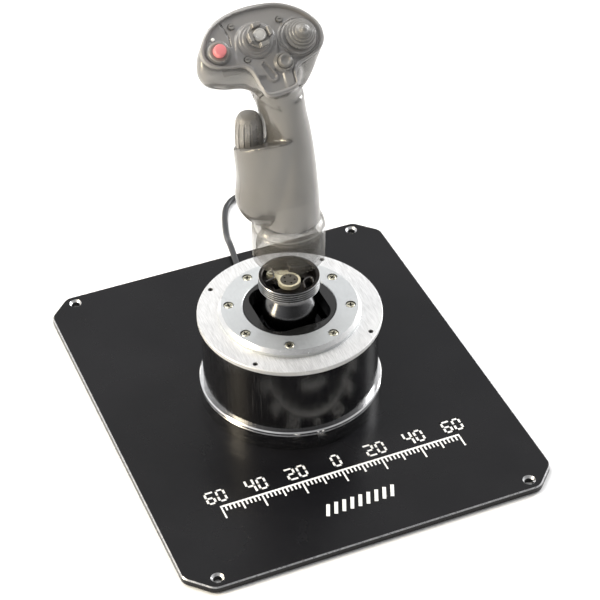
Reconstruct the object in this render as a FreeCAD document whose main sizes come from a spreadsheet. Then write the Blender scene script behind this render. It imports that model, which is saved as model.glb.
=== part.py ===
import FreeCAD, Part
import math
import os
import re

import Sketcher

# Flight joystick: a round gimbal base on a square plate, a threaded stick end with a round
# connector, and a grip with hats, buttons and levers that drops onto it and is locked by a nut.
# Frame: +Z up, +X to the pilot's right, +Y away from the pilot, z = 0 is the desk, and the
# origin is on the base's axis.  Millimetres.

Vector = FreeCAD.Vector
Rotation = FreeCAD.Rotation
Placement = FreeCAD.Placement
DOC = FreeCAD.newDocument("flight_joystick")

SIZE_TABLE = [
    # plate
    ("foot_height", 1.0), ("foot_length", 34.0), ("foot_width", 16.0), ("foot_inset", 40.0),
    ("plate_width", 228.0), ("plate_depth", 268.0), ("plate_thick", 4.0),
    ("plate_corner", 14.0), ("plate_corner_round", 8.0), ("plate_edge", 0.7),
    ("mount_reach_x", 96.0), ("mount_reach_y", 127.0),
    ("mount_hole", 5.0), ("mount_sink", 7.6),
    # housing
    ("skirt_radius", 54.6), ("skirt_bore", 49.0), ("skirt_height", 11.3),
    ("bead_radius", 54.8), ("bead_height", 2.4), ("bead_round", 0.7),
    ("tube_radius", 52.5), ("tube_bore", 48.5), ("tube_height", 44.5),
    ("ring_radius", 54.67), ("ring_thick", 3.0), ("ring_edge", 0.35),
    ("opening_radius", 27.4),
    ("disc_radius", 42.3), ("disc_top_radius", 40.4), ("disc_step", 2.2), ("disc_thick", 4.3),
    ("disc_screw_circle", 35.8), ("disc_screw_head", 2.9), ("disc_screw_sink", 1.7),
    ("disc_screw_shank", 1.5), ("ring_screw_circle", 51.0), ("ring_screw_radius", 1.45),
    # gate insert
    ("gate_radius", 27.2), ("gate_flange", 31.0), ("gate_flange_thick", 3.0),
    ("gate_half", 21.0), ("gate_corner", 11.0), ("gate_drop", 0.15),
    # floor, frame and board
    ("floor_radius", 48.0), ("floor_thick", 3.0),
    ("frame_radius", 34.0), ("frame_bore", 13.5), ("frame_thick", 2.0),
    ("post_inner", 27.0), ("post_thick", 5.0), ("post_width", 9.0), ("post_over", 4.5),
    ("board_radius", 11.5), ("board_thick", 1.6), ("board_gap", 0.6),
    # gimbal and stick
    ("pivot_height", 50.0), ("pin_radius", 2.0), ("pin_clearance", 0.04),
    ("gimbal_bore", 16.3), ("gimbal_radius", 20.3), ("gimbal_half", 3.0),
    ("hub_radius", 8.5), ("hub_half", 6.5), ("shaft_radius", 4.5), ("shaft_bottom", 20.0),
    ("dome_radius", 15.9), ("dome_centre", 66.0), ("dome_bottom", 57.2),
    ("neck_radius", 11.0), ("stick_bore", 5.6),
    ("collar_radius", 18.0), ("collar_bottom", 86.0), ("collar_top", 93.0),
    ("collar_bore", 15.7), ("collar_floor", 86.9), ("thread_pitch", 1.5), ("thread_depth", 0.75),
    ("cross_reach", 21.0), ("cross_half", 4.0), ("cross_bottom", 24.0), ("cross_thick", 3.0),
    ("spring_circle", 17.0), ("spring_radius", 3.3), ("spring_wire", 0.5), ("spring_turns", 6.0),
    ("magnet_radius", 3.0), ("magnet_thick", 3.0),
    # grip foot
    ("lift", 16.0), ("nut_bottom", 109.0), ("nut_top", 136.0), ("nut_radius", 21.0),
    ("nut_bore", 18.2), ("nut_ledge", 119.5), ("nut_throat", 15.5),
    ("core_neck", 15.0), ("core_flange", 17.8), ("core_flange_thick", 2.0),
    ("core_top", 143.0), ("core_bore", 8.0), ("tab_reach", 8.2), ("tab_thick", 2.2),
    ("tab_width", 4.6), ("tab_bottom", 90.0), ("tab_clearance", 0.3),
    ("washer_thick", 1.4),
    # handle and head
    ("shell_wall", 2.4), ("handle_bottom", 137.0), ("handle_top", 217.0), ("seam_y", 4.0),
    ("lobe_top", 183.0),
    ("face_y", -3.0), ("face_z", 240.0), ("face_lean", 40.0), ("face_thick", 2.4),
    ("face_inset", 2.7),
    # controls
    ("red_radius", 4.0), ("low_radius", 3.7),
    ("hat_pivot", 4.0), ("trim_skirt", 8.6), ("trim_height", 12.0), ("castle_skirt", 6.6),
    ("castle_height", 9.5), ("side_hat_x", -19.4), ("side_hat_y", 10.2),
    ("side_hat_radius", 8.4), ("side_hat_height", 25.6),
    ("trigger_y", 32.0), ("trigger_z", 214.5), ("pinky_y", 28.6), ("pinky_z", 164.0),
    ("lever_pin", 1.25), ("lever_half", 5.0), ("ear_thick", 2.0),
    # cord
    ("cord_radius", 2.0), ("coil_x", 32.2), ("coil_y", 78.4), ("coil_inner", 17.0),
    ("coil_outer", 29.0), ("coil_height", 12.0), ("gland_x", 2.0), ("gland_z", 11.0),
    ("gland_root", 48.0), ("gland_tip", 66.0), ("gland_radius", 3.6), ("plug_length", 26.0),
]

SHEET = DOC.addObject("Spreadsheet::Sheet", "Sizes")
for row, (alias, value) in enumerate(SIZE_TABLE, start=1):
    SHEET.set("A%d" % row, alias)
    SHEET.set("B%d" % row, str(value))
    SHEET.setAlias("B%d" % row, alias)
DOC.recompute()

TERM = re.compile(r"([+-]?)\s*([a-z_]+|[0-9.]+)")
NODES = []


def number(text):
    """Value of a sum such as 'plate_thick + 0.5', read from the sheet."""
    if not isinstance(text, str):
        return float(text)
    total = 0.0
    for sign, term in TERM.findall(text):
        size = getattr(SHEET, term) if term[0].isalpha() else float(term)
        total += -size if sign == "-" else size
    return total


def bound(text):
    """The same sum as a FreeCAD expression on the sheet."""
    return re.sub(r"[a-z_]+", lambda found: "Sizes." + found.group(), str(text))


def bind(thing, prop, text):
    thing.setExpression(prop, bound(text))


def node(thing, label):
    """Mark a document object as the finished sub-part called label."""
    thing.Label = label
    NODES.append(thing)
    return thing


# ---------------------------------------------------------------- heights that follow each other

PLATE_TOP = "foot_height + plate_thick"
SKIRT_TOP = PLATE_TOP + " + skirt_height"
BEAD_TOP = SKIRT_TOP + " + bead_height"
TUBE_TOP = BEAD_TOP + " + tube_height"
RING_TOP = TUBE_TOP + " + ring_thick"
DISC_TOP = RING_TOP + " + disc_thick"
FLOOR_TOP = PLATE_TOP + " + floor_thick"
FRAME_TOP = FLOOR_TOP + " + frame_thick"

UPRIGHT = Rotation()
ALONG_X = Rotation(Vector(0, 1, 0), 90)
ALONG_Y = Rotation(Vector(1, 0, 0), -90)
GAP = 0.1


# ---------------------------------------------------------------- builders

def place(thing, x=0, y=0, z=0, turn=UPRIGHT):
    thing.Placement = Placement(Vector(number(x), number(y), number(z)), turn)
    for name, text in (("x", x), ("y", y), ("z", z)):
        if isinstance(text, str):
            bind(thing, "Placement.Base." + name, text)
    return thing


def cylinder(radius, height, x=0, y=0, z=0, turn=UPRIGHT):
    solid = DOC.addObject("Part::Cylinder", "Cylinder")
    bind(solid, "Radius", radius)
    bind(solid, "Height", height)
    return place(solid, x, y, z, turn)


def cone(radius, top_radius, height, x=0, y=0, z=0, turn=UPRIGHT):
    solid = DOC.addObject("Part::Cone", "Cone")
    bind(solid, "Radius1", radius)
    bind(solid, "Radius2", top_radius)
    bind(solid, "Height", height)
    return place(solid, x, y, z, turn)


def box(length, width, height, x=0, y=0, z=0):
    """A box centred on x and y that stands on z."""
    solid = DOC.addObject("Part::Box", "Box")
    bind(solid, "Length", length)
    bind(solid, "Width", width)
    bind(solid, "Height", height)
    corner = Vector(number(x) - number(length) / 2, number(y) - number(width) / 2, number(z))
    solid.Placement = Placement(corner, UPRIGHT)
    return solid


def fuse(parts):
    joined = DOC.addObject("Part::MultiFuse", "Fuse")
    joined.Shapes = parts
    return joined


def cut(base, tools):
    carved = DOC.addObject("Part::Cut", "Cut")
    carved.Base = base
    carved.Tool = tools[0] if len(tools) == 1 else fuse(tools)
    return carved


def group(parts):
    bundle = DOC.addObject("Part::Compound", "Group")
    bundle.Links = parts
    return bundle


def on_circle(radius, count, first_degrees):
    """Evenly spaced (x, y) points on a circle."""
    angles = [math.radians(first_degrees + 360.0 * i / count) for i in range(count)]
    return [(number(radius) * math.cos(a), number(radius) * math.sin(a)) for a in angles]


def origin_feature(body, role):
    return [f for f in body.Origin.OriginFeatures if f.Role == role][0]


def new_sketch(body, plane):
    sketch = body.newObject("Sketcher::SketchObject", "Sketch")
    sketch.AttachmentSupport = [(origin_feature(body, plane), "")]
    sketch.MapMode = "FlatFace"
    return sketch


def turned(profile, angle=360):
    """A body turned about Z from a closed outline of (radius, height) texts."""
    body = DOC.addObject("PartDesign::Body", "Turned")
    sketch = new_sketch(body, "XZ_Plane")
    corners = [Vector(number(r), number(z), 0) for r, z in profile]
    count = len(corners)
    for i in range(count):
        sketch.addGeometry(Part.LineSegment(corners[i], corners[(i + 1) % count]))
    for i in range(count):
        sketch.addConstraint(Sketcher.Constraint("Coincident", i, 2, (i + 1) % count, 1))
    for i, (radius, height) in enumerate(profile):
        if corners[i].x == 0:
            sketch.addConstraint(Sketcher.Constraint("PointOnObject", i, 1, -2))
        else:
            index = sketch.addConstraint(
                Sketcher.Constraint("DistanceX", -1, 1, i, 1, corners[i].x))
            bind(sketch, "Constraints[%d]" % index, radius)
        index = sketch.addConstraint(
            Sketcher.Constraint("DistanceY", -1, 1, i, 1, corners[i].y))
        bind(sketch, "Constraints[%d]" % index, height)
    turn = body.newObject("PartDesign::Revolution", "Revolution")
    turn.Profile = (sketch, [""])
    turn.ReferenceAxis = (origin_feature(body, "Z_Axis"), [""])
    turn.Angle = angle
    return body


def rectangle_sketch(body, width, depth):
    """A rectangle centred on the body's origin in its XY plane."""
    sketch = new_sketch(body, "XY_Plane")
    x, y = number(width) / 2, number(depth) / 2
    corners = [Vector(-x, -y, 0), Vector(x, -y, 0), Vector(x, y, 0), Vector(-x, y, 0)]
    for i in range(4):
        sketch.addGeometry(Part.LineSegment(corners[i], corners[(i + 1) % 4]))
    for i in range(4):
        sketch.addConstraint(Sketcher.Constraint("Coincident", i, 2, (i + 1) % 4, 1))
        sketch.addConstraint(Sketcher.Constraint("Vertical" if i % 2 else "Horizontal", i))
    sketch.addConstraint(Sketcher.Constraint("Symmetric", 0, 1, 1, 2, -1, 1))
    for kind, line, text in (("DistanceX", 0, width), ("DistanceY", 1, depth)):
        index = sketch.addConstraint(
            Sketcher.Constraint(kind, line, 1, line, 2, number(text)))
        bind(sketch, "Constraints[%d]" % index, text)
    return sketch


def upright_edges(shape):
    names = []
    for i, edge in enumerate(shape.Edges, start=1):
        first, last = edge.Vertexes[0].Point, edge.Vertexes[-1].Point
        if abs(first.x - last.x) < 1e-6 and abs(first.y - last.y) < 1e-6:
            names.append("Edge%d" % i)
    return names


def computed(shape, label, placement=Placement()):
    """A sub-part whose form is worked out here from the sheet's sizes."""
    thing = DOC.addObject("Part::Feature", label)
    thing.Shape = shape
    thing.Placement = placement
    return node(thing, label)


# ---------------------------------------------------------------- plate and feet

def make_base_plate(screw_points):
    body = DOC.addObject("PartDesign::Body", "Plate")
    outline = rectangle_sketch(body, "plate_width", "plate_depth")
    pad = body.newObject("PartDesign::Pad", "Slab")
    pad.Profile = (outline, [""])
    bind(pad, "Length", "plate_thick")
    DOC.recompute()
    corners = body.newObject("PartDesign::Chamfer", "CornerCuts")
    corners.Base = (pad, upright_edges(pad.Shape))
    bind(corners, "Size", "plate_corner")
    DOC.recompute()
    rounds = body.newObject("PartDesign::Fillet", "CornerRounds")
    rounds.Base = (corners, upright_edges(corners.Shape))
    bind(rounds, "Radius", "plate_corner_round")
    DOC.recompute()
    top = [i for i, face in enumerate(rounds.Shape.Faces, start=1)
           if face.normalAt(0, 0).z > 0.99]
    edge = body.newObject("PartDesign::Chamfer", "BrightEdge")
    edge.Base = (rounds, ["Face%d" % top[0]])
    bind(edge, "Size", "plate_edge")
    DOC.recompute()

    holes = new_sketch(body, "XY_Plane")
    bind(holes, "AttachmentOffset.Base.z", "plate_thick")
    x, y = number("mount_reach_x"), number("mount_reach_y")
    for sx, sy in ((1, 1), (-1, 1), (1, -1), (-1, -1)):
        centre = Vector(sx * x, sy * y, 0)
        holes.addGeometry(Part.Circle(centre, Vector(0, 0, 1), number("mount_hole") / 2))
    for kind, text in (("DistanceX", "mount_reach_x"), ("DistanceY", "mount_reach_y")):
        index = holes.addConstraint(Sketcher.Constraint(kind, -1, 1, 0, 3, number(text)))
        bind(holes, "Constraints[%d]" % index, text)
    holes.addConstraint(Sketcher.Constraint("Symmetric", 0, 3, 1, 3, -2))
    holes.addConstraint(Sketcher.Constraint("Symmetric", 0, 3, 2, 3, -1))
    holes.addConstraint(Sketcher.Constraint("Symmetric", 0, 3, 3, 3, -1, 1))
    for other in (1, 2, 3):
        holes.addConstraint(Sketcher.Constraint("Equal", 0, other))
    index = holes.addConstraint(Sketcher.Constraint("Diameter", 0, number("mount_hole")))
    bind(holes, "Constraints[%d]" % index, "mount_hole")
    DOC.recompute()
    drill = body.newObject("PartDesign::Hole", "MountHoles")
    drill.Profile = (holes, [""])
    drill.DepthType = "ThroughAll"
    drill.Threaded = False
    bind(drill, "Diameter", "mount_hole")
    drill.HoleCutType = "Countersink"
    drill.HoleCutCustomValues = True
    bind(drill, "HoleCutDiameter", "mount_sink")
    drill.HoleCutCountersinkAngle = 90
    DOC.recompute()
    place(body, 0, 0, "foot_height")

    sinks = []
    for px, py in screw_points:
        sinks.append(cylinder(SCREW_HOLE, "plate_thick + 2", px, py, "foot_height - 1"))
        sinks.append(cone(SCREW_HEAD + " + 0.35", SCREW_HOLE, "1.9", px, py,
                          "foot_height - 0.1"))
    return node(cut(body, sinks), "base_plate")


def make_rubber_feet():
    pads = []
    for sx in (-1, 1):
        for sy in (-1, 1):
            x = sx * (number("plate_width") / 2 - number("foot_inset"))
            y = sy * (number("plate_depth") / 2 - number("foot_inset") / 2)
            pads.append(box("foot_length", "foot_width", "foot_height", x, y, 0))
    return node(group(pads), "rubber_feet")


SCREW_HEAD = "3.2"
SCREW_HOLE = "1.7"
SCREW_SHANK = "1.6"
SKIRT_SCREWS = on_circle("51.8", 4, 30)
FRAME_SCREWS = on_circle("29.5", 4, 45)


def make_base_screws():
    screws = []
    for (x, y), top in ([(p, SKIRT_TOP + " - 2.5") for p in SKIRT_SCREWS]
                        + [(p, FRAME_TOP + " - 0.3") for p in FRAME_SCREWS]):
        head = cone(SCREW_HEAD, SCREW_SHANK, "1.6", x, y, "foot_height + 0.1")
        shank = cylinder(SCREW_SHANK, top + " - foot_height - 0.2", x, y, "foot_height + 0.2")
        screws.append(fuse([head, shank]))
    return node(group(screws), "base_screws")


# ---------------------------------------------------------------- housing

def make_skirt():
    ring = turned([("skirt_bore", PLATE_TOP), ("skirt_radius", PLATE_TOP),
                   ("skirt_radius", SKIRT_TOP + " - 0.6"), ("skirt_radius - 0.6", SKIRT_TOP),
                   ("skirt_bore", SKIRT_TOP)])
    holes = [cylinder(SCREW_HOLE, "skirt_height - 2", x, y, PLATE_TOP + " - 0.1")
             for x, y in SKIRT_SCREWS]
    holes.append(cylinder("gland_radius + 0.05", "12", "gland_x", "gland_root - 2",
                          "gland_z", ALONG_Y))
    return node(cut(ring, holes), "skirt_ring")


def make_bead():
    low, high = SKIRT_TOP, BEAD_TOP
    return node(turned([("skirt_bore", low), ("bead_radius - bead_round", low),
                        ("bead_radius", low + " + bead_round"),
                        ("bead_radius", high + " - bead_round"),
                        ("bead_radius - bead_round", high), ("skirt_bore", high)]),
                "bead_ring")


def make_tube():
    return node(turned([("tube_bore", BEAD_TOP), ("tube_radius", BEAD_TOP),
                        ("tube_radius", TUBE_TOP), ("tube_bore", TUBE_TOP)]),
                "housing_cylinder")


def make_top_ring():
    ring = turned([("opening_radius", TUBE_TOP), ("ring_radius - ring_edge", TUBE_TOP),
                   ("ring_radius", TUBE_TOP + " + ring_edge"),
                   ("ring_radius", RING_TOP + " - ring_edge"),
                   ("ring_radius - ring_edge", RING_TOP), ("opening_radius", RING_TOP)])
    holes = [cylinder("ring_screw_radius + 0.1", "ring_thick + 2", x, y, TUBE_TOP + " + 0.4")
             for x, y in on_circle("ring_screw_circle", 4, 45)]
    holes += [cylinder("disc_screw_shank + 0.1", "ring_thick + 2", x, y, TUBE_TOP + " - 1")
              for x, y in on_circle("disc_screw_circle", 8, 22.5)]
    return node(cut(ring, holes), "top_ring")


def make_retainer_disc():
    disc = turned([("opening_radius", RING_TOP), ("disc_radius", RING_TOP),
                   ("disc_radius", DISC_TOP + " - disc_step"), ("disc_top_radius", DISC_TOP),
                   ("opening_radius + 0.5", DISC_TOP), ("opening_radius", DISC_TOP + " - 0.5")])
    holes = []
    for x, y in on_circle("disc_screw_circle", 8, 22.5):
        holes.append(cylinder("disc_screw_shank + 0.1", "disc_thick + 2", x, y,
                              RING_TOP + " - 1"))
        holes.append(cylinder("disc_screw_head + 0.25", "disc_screw_sink + 1", x, y,
                              DISC_TOP + " - disc_screw_sink"))
    return node(cut(disc, holes), "retainer_disc")


def make_disc_screws():
    screws = []
    for x, y in on_circle("disc_screw_circle", 8, 22.5):
        seat = DISC_TOP + " - disc_screw_sink"
        head = cylinder("disc_screw_head", "disc_screw_sink - 0.2", x, y, seat)
        shank = cylinder("disc_screw_shank", "disc_thick + 0.5", x, y,
                         seat + " - disc_thick")
        slots = [box("3.6", "0.8", "1.2", x, y, DISC_TOP + " - 1.1"),
                 box("0.8", "3.6", "1.2", x, y, DISC_TOP + " - 1.1")]
        screws.append(cut(fuse([head, shank]), slots))
    return node(group(screws), "disc_screws")


def make_ring_screws():
    screws = []
    for x, y in on_circle("ring_screw_circle", 4, 45):
        plug = cylinder("ring_screw_radius", "ring_thick - 1", x, y, TUBE_TOP + " + 0.4")
        socket = cylinder("0.75", "1.5", x, y, RING_TOP + " - 1.6")
        screws.append(cut(plug, [socket]))
    return node(group(screws), "ring_screws")


def make_gate():
    flange_top = TUBE_TOP + " - 0.2"
    flange_low = flange_top + " - gate_flange_thick"
    top = DISC_TOP + " - gate_drop"
    ring = turned([("18", flange_low), ("gate_flange", flange_low),
                   ("gate_flange", flange_top), ("gate_radius", flange_top),
                   ("gate_radius", top), ("18", top)])
    body = DOC.addObject("PartDesign::Body", "GateHole")
    outline = rectangle_sketch(body, "gate_half + gate_half", "gate_half + gate_half")
    pad = body.newObject("PartDesign::Pad", "Core")
    pad.Profile = (outline, [""])
    pad.Length = 16
    DOC.recompute()
    rounds = body.newObject("PartDesign::Fillet", "Corners")
    rounds.Base = (pad, upright_edges(pad.Shape))
    bind(rounds, "Radius", "gate_corner")
    DOC.recompute()
    place(body, 0, 0, flange_low + " - 1")
    return node(cut(ring, [body]), "gate_insert")


# ---------------------------------------------------------------- floor, frame, board

def make_floor():
    disc = cylinder("floor_radius", "floor_thick", 0, 0, PLATE_TOP)
    stands = [cylinder("1.6", "board_gap + 0.5", x, y, FLOOR_TOP + " - 0.5")
              for x, y in on_circle("9.5", 3, 90)]
    holes = [cylinder(SCREW_HOLE, "floor_thick + 2", x, y, PLATE_TOP + " - 1")
             for x, y in FRAME_SCREWS]
    return node(cut(fuse([disc] + stands), holes), "base_floor")


def make_frame():
    base = cylinder("frame_radius", "frame_thick", 0, 0, FLOOR_TOP)
    parts = [base]
    for side in (-1, 1):
        middle = side * (number("post_inner") + number("post_thick") / 2)
        parts.append(box("post_thick", "post_width", "pivot_height + post_over - foot_height"
                         " - plate_thick - floor_thick", middle, 0, FLOOR_TOP))
    holes = [cylinder("frame_bore", "frame_thick + 2", 0, 0, FLOOR_TOP + " - 1")]
    holes += [cylinder(SCREW_HOLE, "frame_thick + 2", x, y, FLOOR_TOP + " - 1")
              for x, y in FRAME_SCREWS]
    holes.append(cylinder("pin_radius + pin_clearance", "80", -40, 0, "pivot_height",
                          ALONG_X))
    return node(cut(fuse(parts), holes), "pivot_frame")


def make_hall_board():
    low = FLOOR_TOP + " + board_gap"
    board = cylinder("board_radius", "board_thick", 0, 0, low)
    top = low + " + board_thick"
    sensor = box("4", "4", "1.2", 0, 0, top + " - 0.1")
    chip = box("5", "4", "1.1", -6, -3, top + " - 0.1")
    header = box("7", "3.6", "3", 2, 8, top + " - 0.1")
    return node(fuse([board, sensor, chip, header]), "hall_board")


def make_springs():
    """Four coil springs stand between the frame's foot and the stick's cross."""
    wire = number("spring_wire")
    low = number(FRAME_TOP) + wire + GAP
    height = number("cross_bottom") - wire - GAP - low
    coil_radius = number("spring_radius")
    for i, (x, y) in enumerate(on_circle("spring_circle", 4, 45), start=1):
        pitch = height / number("spring_turns")
        path = Part.makeHelix(pitch, height, coil_radius)
        start = Part.Wire(Part.makeCircle(wire, Vector(coil_radius, 0, 0), Vector(0, 1, 0)))
        coil = Part.Wire(path).makePipeShell([start], True, True)
        computed(coil, "centring_spring_%d" % i, Placement(Vector(x, y, low), UPRIGHT))


# ---------------------------------------------------------------- gimbal and stick

def make_gimbal():
    ring = turned([("gimbal_bore", "pivot_height - gimbal_half"),
                   ("gimbal_radius", "pivot_height - gimbal_half"),
                   ("gimbal_radius", "pivot_height + gimbal_half"),
                   ("gimbal_bore", "pivot_height + gimbal_half")])
    along_x = cylinder("pin_radius", "80", -40, 0, "pivot_height", ALONG_X)
    along_y = cylinder("pin_radius + pin_clearance", "80", 0, -40, "pivot_height", ALONG_Y)
    node(cut(ring, [along_x, along_y]), "gimbal_ring")
    length = number("post_inner") + number("post_thick") - number("gimbal_bore") - 0.4
    pins = [cylinder("pin_radius", length, number("gimbal_bore") + 0.2, 0, "pivot_height",
                     ALONG_X),
            cylinder("pin_radius", length, -number("gimbal_bore") - 0.2 - length, 0,
                     "pivot_height", ALONG_X)]
    node(group(pins), "pitch_pins")


def make_hub():
    """Pivot block with the lower shaft, bored across for the roll pins."""
    solid = turned([("0", "shaft_bottom"), ("shaft_radius", "shaft_bottom"),
                    ("shaft_radius", "pivot_height - hub_half"),
                    ("hub_radius", "pivot_height - hub_half + 2"),
                    ("hub_radius", "dome_bottom"), ("0", "dome_bottom")])
    bore = cylinder("pin_radius", "80", 0, -40, "pivot_height", ALONG_Y)
    node(cut(solid, [bore]), "pivot_hub")
    length = number("gimbal_radius") - number("hub_radius") + 3
    pins = [cylinder("pin_radius", length, 0, number("hub_radius") - 3.2, "pivot_height",
                     ALONG_Y),
            cylinder("pin_radius", length, 0, 3.2 - number("hub_radius") - length,
                     "pivot_height", ALONG_Y)]
    node(group(pins), "roll_pins")


def make_cross():
    """Four diagonal arms below the pivot that press on the springs."""
    arms = []
    for angle in (45, 135):
        arm = DOC.addObject("Part::Box", "Arm")
        bind(arm, "Length", "cross_reach + cross_reach")
        bind(arm, "Width", "cross_half + cross_half")
        bind(arm, "Height", "cross_thick")
        turn = Rotation(Vector(0, 0, 1), angle)
        corner = Vector(-number("cross_reach"), -number("cross_half"), 0)
        arm.Placement = Placement(turn.multVec(corner) + Vector(0, 0, number("cross_bottom")),
                                  turn)
        arms.append(arm)
    hole = cylinder("shaft_radius + 0.02", "cross_thick + 2", 0, 0, "cross_bottom - 1")
    node(cut(fuse(arms), [hole]), "spring_cross")
    node(cylinder("magnet_radius", "magnet_thick", 0, 0, "shaft_bottom - magnet_thick"),
         "sensor_magnet")


def tab_slots():
    """Two key slots that take the grip's guide tabs."""
    width = "tab_width + tab_clearance + tab_clearance"
    thick = "tab_thick + tab_clearance + tab_clearance"
    low = number("tab_bottom") - number("lift") - 0.6
    return [box(thick, width, number("collar_top") - low, side * number("tab_reach"), 0, low)
            for side in (-1, 1)]


def make_dome():
    """Polished dome and neck: a sphere cut flat below, with a turned waist above."""
    radius, centre = number("dome_radius"), number("dome_centre")
    low, neck = number("dome_bottom"), number("neck_radius")
    low_radius = math.sqrt(radius ** 2 - (centre - low) ** 2)
    join = centre + math.sqrt(radius ** 2 - (neck + 1.2) ** 2)
    waist_top = number("collar_bottom") - 0.9
    bore = number("stick_bore")
    outer_low = Vector(low_radius, 0, low)
    middle = Vector(radius, 0, centre)
    outer_high = Vector(neck + 1.2, 0, join)
    flare = Vector(neck + 0.15, 0, join + 1.6)
    waist = Vector(neck, 0, join + 4)
    edges = [
        Part.LineSegment(Vector(bore, 0, low), outer_low).toShape(),
        Part.Arc(outer_low, middle, outer_high).toShape(),
        Part.Arc(outer_high, flare, waist).toShape(),
        Part.LineSegment(waist, Vector(neck, 0, waist_top)).toShape(),
        Part.LineSegment(Vector(neck, 0, waist_top), Vector(bore, 0, waist_top)).toShape(),
        Part.LineSegment(Vector(bore, 0, waist_top), Vector(bore, 0, low)).toShape(),
    ]
    face = Part.Face(Part.Wire(edges))
    solid = face.revolve(Vector(0, 0, 0), Vector(0, 0, 1), 360)
    form = DOC.addObject("Part::Feature", "DomeForm")
    form.Shape = solid
    node(cut(form, tab_slots()), "stick_dome")


def make_collar():
    """Threaded collar: the thread is drawn as grooves at its pitch; its mouth is open."""
    pitch, depth = "thread_pitch", "thread_depth"
    low = "collar_bottom"
    outline = [("neck_radius", "collar_bottom - 0.9"), ("collar_radius - 2.2", "collar_bottom"
               " - 0.9"), ("collar_radius - 1.2", low)]
    height = low + " + 0.25"
    for _ in range(4):
        outline.append(("collar_radius", height + " + 0.2"))
        outline.append(("collar_radius", height + " + 0.55"))
        outline.append(("collar_radius - " + depth, height + " + 1.05"))
        outline.append(("collar_radius - " + depth, height + " + 1.25"))
        height += " + " + pitch
    outline += [("collar_radius", height + " + 0.2"), ("collar_radius - 0.3", "collar_top"),
                ("collar_bore + 0.5", "collar_top"), ("collar_bore", "collar_top - 0.5"),
                ("collar_bore", "collar_floor"), ("stick_bore", "collar_floor"),
                ("stick_bore", "collar_bottom - 0.9")]
    node(cut(turned(outline), tab_slots()), "threaded_collar")


SOCKET_RADIUS = "5.2"


def make_connector():
    """Cream bracket, round five-pin socket and screw inside the collar's mouth."""
    floor = "collar_floor"
    stand = number(floor) + 0.05
    sx, sy = -7.6, 9.2
    plate = box("9", "13.5", "1.4", -1.5, 3.4, stand)
    boss = cylinder("2.7", "2.6", sx, sy, stand)
    arm = box("8.5", "5.2", "1.4", -4.2, sy - 0.5, stand)
    ring = cylinder(SOCKET_RADIUS + " + 1.4", "2.6", 0, 0, stand)
    holes = [cylinder(SOCKET_RADIUS + " + 0.05", "8", 0, 0, stand - 1),
             cylinder("1.05", "6", sx, sy, stand - 1)] + tab_slots()
    node(cut(fuse([plate, boss, arm, ring]), holes), "connector_bracket")
    shell = cylinder(SOCKET_RADIUS, "6", 0, 0, stand - 3.4)
    pins = [cylinder("0.65", "4", x, y, stand - 1)
            for x, y in on_circle("3.2", 5, -90)]
    pins.append(box("1.6", "1.2", "4", 0, 4.9, stand))
    node(cut(shell, pins), "din_socket")
    head = cylinder("2.1", "1.1", sx, sy, stand + 2.6)
    shank = cylinder("1", "2.4", sx, sy, stand + 0.3)
    slots = [box("2.6", "0.6", "1", sx, sy, stand + 3.1),
             box("0.6", "2.6", "1", sx, sy, stand + 3.1)]
    node(cut(fuse([head, shank]), slots), "connector_screw")


# ---------------------------------------------------------------- grip foot

def make_grip_core():
    low = "nut_bottom + 0.5"
    solid = turned([("core_bore", low), ("core_flange", low),
                    ("core_flange", low + " + core_flange_thick"),
                    ("core_neck", low + " + core_flange_thick"), ("core_neck", "core_top"),
                    ("core_bore", "core_top")])
    tabs = [box("tab_thick", "tab_width", number(low) + 3 - number("tab_bottom"),
                side * number("tab_reach"), 0, "tab_bottom") for side in (-1, 1)]
    wall = [box("5.2", "tab_width + 3", "6", side * (number("core_bore") + 1.6), 0, low)
            for side in (-1, 1)]
    node(fuse([solid] + tabs + wall), "grip_core")


def make_din_plug():
    low = "nut_bottom - 3.3"
    shell = cylinder("4.9", "26", 0, 0, low)
    pins = [cylinder("0.5", "3", x, y, low + " - 2.2") for x, y in on_circle("3.2", 5, -90)]
    node(fuse([shell] + pins), "din_plug")


def make_nut():
    low = "nut_bottom"
    groove = "nut_top - 4.8"
    outline = [("nut_bore + 0.6", low), ("nut_radius - 0.8", low), ("nut_radius", low + " + 0.8"),
               ("nut_radius", groove + " - 1.6"), ("nut_radius - 1.3", groove + " - 0.4"),
               ("nut_radius - 1.3", groove), ("nut_radius - 0.2", groove + " + 0.5"),
               ("nut_radius - 0.5", "nut_top - 3"), ("nut_radius - 1.3", "nut_top - 1.4"),
               ("nut_radius - 2.6", "nut_top - 0.4"), ("nut_radius - 3.8", "nut_top"),
               ("nut_throat", "nut_top"), ("nut_throat", "nut_ledge"),
               ("nut_bore", "nut_ledge")]
    height = "nut_ledge - 2"
    while number(height) > number(low) + 2:
        outline.append(("nut_bore", height))
        outline.append(("nut_bore + 0.5", height + " - 0.4"))
        outline.append(("nut_bore + 0.5", height + " - 0.7"))
        outline.append(("nut_bore", height + " - 1.1"))
        height += " - thread_pitch"
    outline.append(("nut_bore", low + " + 0.6"))
    node(turned(outline), "lock_nut")
    washer_low = "nut_bottom + core_flange_thick + 0.7"
    node(turned([("core_neck + 0.2", washer_low), ("core_flange + 0.1", washer_low),
                 ("core_flange + 0.1", washer_low + " + washer_thick"),
                 ("core_neck + 0.2", washer_low + " + washer_thick")]), "slip_washer")


# ---------------------------------------------------------------- handle

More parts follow.
